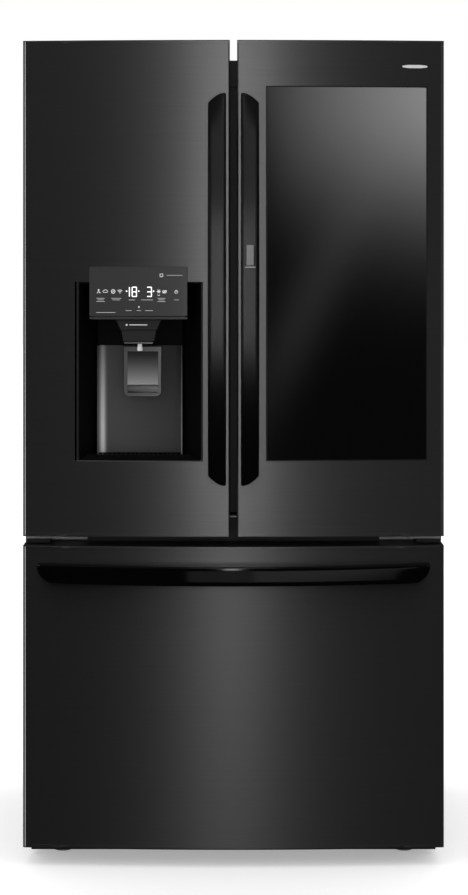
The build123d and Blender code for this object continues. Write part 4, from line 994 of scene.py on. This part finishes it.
def drip_tray():
    """Rim and slats over the drip cup."""
    low, high = tray_low, tray_high
    y0, y1 = low.y + 1 * MM, high.y - 1 * MM
    half = 118 * MM
    top = high.z
    back_half = 90 * MM
    rim = []
    rows = ((y0, half, top - 5 * MM), (y0 + 8 * MM, half - 4 * MM, top), (y1 - 6 * MM, back_half, top))
    for y, width, z in rows:
        rim.append(block(DISP_X - width, DISP_X + width, y, y + 7 * MM, low.z, z))
    slats = []
    pitch, thin = 10 * MM, 1.8 * MM
    for index in range(17):
        x = DISP_X - 80 * MM + index * pitch
        slats.append(block(x - thin, x + thin, y0 + 14 * MM, y1 - 5 * MM, low.z + 4 * MM, top - 0.6 * MM))
    floor = block(DISP_X - back_half, DISP_X + back_half, y0 + 3 * MM, y1, low.z, low.z + 2 * MM)
    build(
        "drip_tray_grille", rim + slats + [floor], RECESS_BLACK_AND_SHADE_LOOK, "left_door",
        SLOT_OF["dispenser_tray"], ["dispenser_tray"], bevel=0.7 * MM,
    )


drip_tray()


def cap_faces(name, body, skin, look):
    """Steel strips over the fronts of a door's two end caps, so that the front runs to its edges."""
    low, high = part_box(skin)
    cap = 7 * MM
    radius = 2.2 * MM
    strips = [
        bowed_plate(low.x, high.x, high.z - 0.4 * MM, high.z + cap, 0.15 * MM, 3 * MM, radius, 0.0, "low"),
        bowed_plate(low.x, high.x, low.z - cap, low.z + 0.4 * MM, 0.15 * MM, 3 * MM, radius, 0.0, "high"),
    ]
    build(name, strips, look, body, "black_stainless")


def edge_highlight_line(name, body, skin, side, look):
    """A narrow line beside a front's upright outer edge, painted pale or dim grey as the edge's highlight."""
    near, far = 4.0 * MM, 5.7 * MM
    low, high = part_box(skin)
    outer = low.x if side < 0 else high.x
    x0, x1 = sorted((outer - side * near, outer - side * far))
    strip = bowed_plate(x0, x1, low.z - 5 * MM, high.z + 5 * MM, 0.22 * MM, 2 * MM, 0.3 * MM)
    build(name, [strip], look, body, "black_stainless")


def flap_cover():
    """Face of the folding flap, and the guide over it that the flap's end runs in."""
    low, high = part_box("mullion_flap")
    face = block(low.x + 2 * MM, 9 * MM, low.y - 0.4 * MM, low.y + 2.5 * MM, low.z, high.z)
    build("mullion_flap_face", [face], LOOKS["trim_black"], "mullion_flap", "trim_black", bevel=0.6 * MM)
    shell_low, shell_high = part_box("outer_shell")
    front, top = shell_low.y, shell_high.z - 1 * MM
    half = 11 * MM
    guide = block(-half, half, front - 2.4 * MM, front - 0.1 * MM, high.z + 0.6 * MM, top)
    build("flap_guide", [guide], LOOKS["trim_black"], "cabinet", "trim_black", bevel=0.6 * MM)


flap_cover()
edge_highlight_line("left_door_edge_highlight", "left_door", "left_door_skin", -1, BRIGHT_EDGE_HIGHLIGHT_LOOK)
edge_highlight_line("window_door_edge_highlight", "window_door", "window_door_skin", 1, DIM_HIGHLIGHT_LOOK)
edge_highlight_line("drawer_left_edge_highlight", "freezer_drawer", "drawer_skin", -1, BRIGHT_EDGE_HIGHLIGHT_LOOK)
cap_faces("left_door_cap_faces", "left_door", "left_door_skin", LOOKS["black_stainless"])
cap_faces("window_door_cap_faces", "window_door", "window_door_skin", LOOKS["black_stainless"])
cap_faces("drawer_cap_faces", "freezer_drawer", "drawer_skin", DRAWER_SHADED_LOOK)

# ---------------------------------------------------------------- window door
pane_low, pane_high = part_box("window_glass")


def window():
    low, high = pane_low, pane_high
    border = 2.2 * MM
    pane = bowed_plate(
        low.x + border, high.x - border, low.z + border, high.z - border, 0.0, 4 * MM, 0.8 * MM, 2 * MM
    )
    build("window_pane", [pane], LOOKS["tinted_glass"], "window_door", "tinted_glass", ["window_glass"])
    outer = rounded(low.x, high.x, low.z, high.z, (2 * MM,) * 4, 3)
    inner = rounded(low.x + border, high.x - border, low.z + border, high.z - border, (2 * MM,) * 4, 3)
    outer, inner = divided(outer, 30, 20 * MM), divided(inner, 30, 20 * MM)
    rings = []
    for outline, proud in ((outer, -4 * MM), (outer, -0.5 * MM), (inner, -0.5 * MM), (inner, -4 * MM)):
        rings.append([Vector((x, front_y(x, proud), z)) for x, z in outline])
    build("window_border", [skin_of(rings, looped=True)], LOOKS["trim_black"], "window_door", "trim_black")
    inset = 14 * MM
    inner_pane = block(
        low.x + inset, high.x - inset, high.y - 4 * MM, high.y, low.z + inset, high.z - inset
    )
    build(
        "window_inner_pane", [inner_pane], LOOKS["clear_glass"], "window_door", "clear_glass", bevel=0.5 * MM,
    )


window()


def badge():
    """Plain bar in the window door's upper corner."""
    length, half = 54 * MM, 3.5 * MM
    x1 = pane_high.x
    z = (pane_high.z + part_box("window_door_skin")[1].z) / 2 - 3 * MM
    bar = bowed_plate(x1 - length, x1, z - half, z + half, 0.0, 2 * MM, 0.3 * MM, 3 * MM)
    lifted = [point + Vector((0, -0.5 * MM, 0)) for point in bar[0]]
    build("badge_bar", [(lifted, bar[1])], BADGE_AND_SILL_HIGHLIGHT_LOOK, "window_door", "handle_metal")


badge()


# ---------------------------------------------------------------- seals
DOOR_SEAL, WINDOW_SEAL = 18 * MM, 14 * MM  # widths


def gasket(node, body):
    """Bellows seal round a door: a foot, a waist and a round-edged magnet pocket."""
    low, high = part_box(node)
    depth = high.y - low.y
    width = WINDOW_SEAL if node == "window_door_gasket" else DOOR_SEAL
    section = (
        (0.12, 0.0), (0.88, 0.0), (0.88, 0.12), (0.72, 0.2), (0.72, 0.36), (0.94, 0.44),
        (1.0, 0.56), (1.0, 0.9), (0.92, 1.0), (0.08, 1.0), (0.0, 0.9), (0.0, 0.56),
        (0.06, 0.44), (0.28, 0.36), (0.28, 0.2), (0.12, 0.12),
    )
    corners = (
        (low.x, low.z, 1, 1), (high.x, low.z, -1, 1), (high.x, high.z, -1, -1), (low.x, high.z, 1, -1),
    )
    rings = []
    for x, z, sx, sz in corners:
        rings.append(
            [Vector((x + sx * width * a, low.y + depth * b, z + sz * width * a)) for a, b in section]
        )
    ring = skin_of(rings, looped=True)
    build(node + "_bellows", [ring], LOOKS["gasket_rubber"], body, "gasket_rubber", [node])


for node, body in (
    ("left_door_gasket", "left_door"), ("inner_door_gasket", "right_inner_door"),
    ("window_door_gasket", "window_door"), ("drawer_gasket", "freezer_drawer"),
):
    gasket(node, body)

# ---------------------------------------------------------------- fasteners
rear_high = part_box("rear_cover")[1]
cover_low, cover_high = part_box("hinge_covers")


def fasteners():
    """Screws of the rear cover, sunk in its plane, and of the hinge covers."""
    inset = 14 * MM
    lowest = 60 * MM
    farthest = 360 * MM
    joint = 318 * MM  # height of the joint between the rear panel and the machine cover
    y = rear_high.y - 2.2 * MM
    places = []
    for z in spread(lowest, rear_high.z - inset, 8):
        for side in (-1, 1):
            places.append((side * (rear_high.x - inset), y, z))
    for x in spread(-farthest, farthest, 4):
        places.append((x, y, rear_high.z - inset))
        places.append((x, y, joint))
    screws("rear_cover_screws", places, (0, 1, 0), 3.4 * MM, "cabinet")
    cover_x, cover_ys = 422 * MM, (-270 * MM, -150 * MM)
    top = cover_high.z - 1.4 * MM
    caps = [(side * cover_x, y, top) for side in (-1, 1) for y in cover_ys]
    screws("hinge_cover_screws", caps, (0, 0, 1), 4.5 * MM, "cabinet")


fasteners()


def hinge_plates():
    """Bare ends of the two middle brackets, in the gap under the doors."""
    near, far = 390 * MM, 450 * MM
    front = cover_low.y - 0.8 * MM
    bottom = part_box("left_door_caps")[0].z
    plates = []
    for side in (-1, 1):
        x0, x1 = sorted((side * near, side * far))
        plates.append(block(x0, x1, front, front + 2 * MM, bottom - 8 * MM, bottom - 2.5 * MM))
    build("middle_bracket_plates", plates, BRACKET_LOOK, "cabinet", "zinc_steel", bevel=0.6 * MM)


hinge_plates()
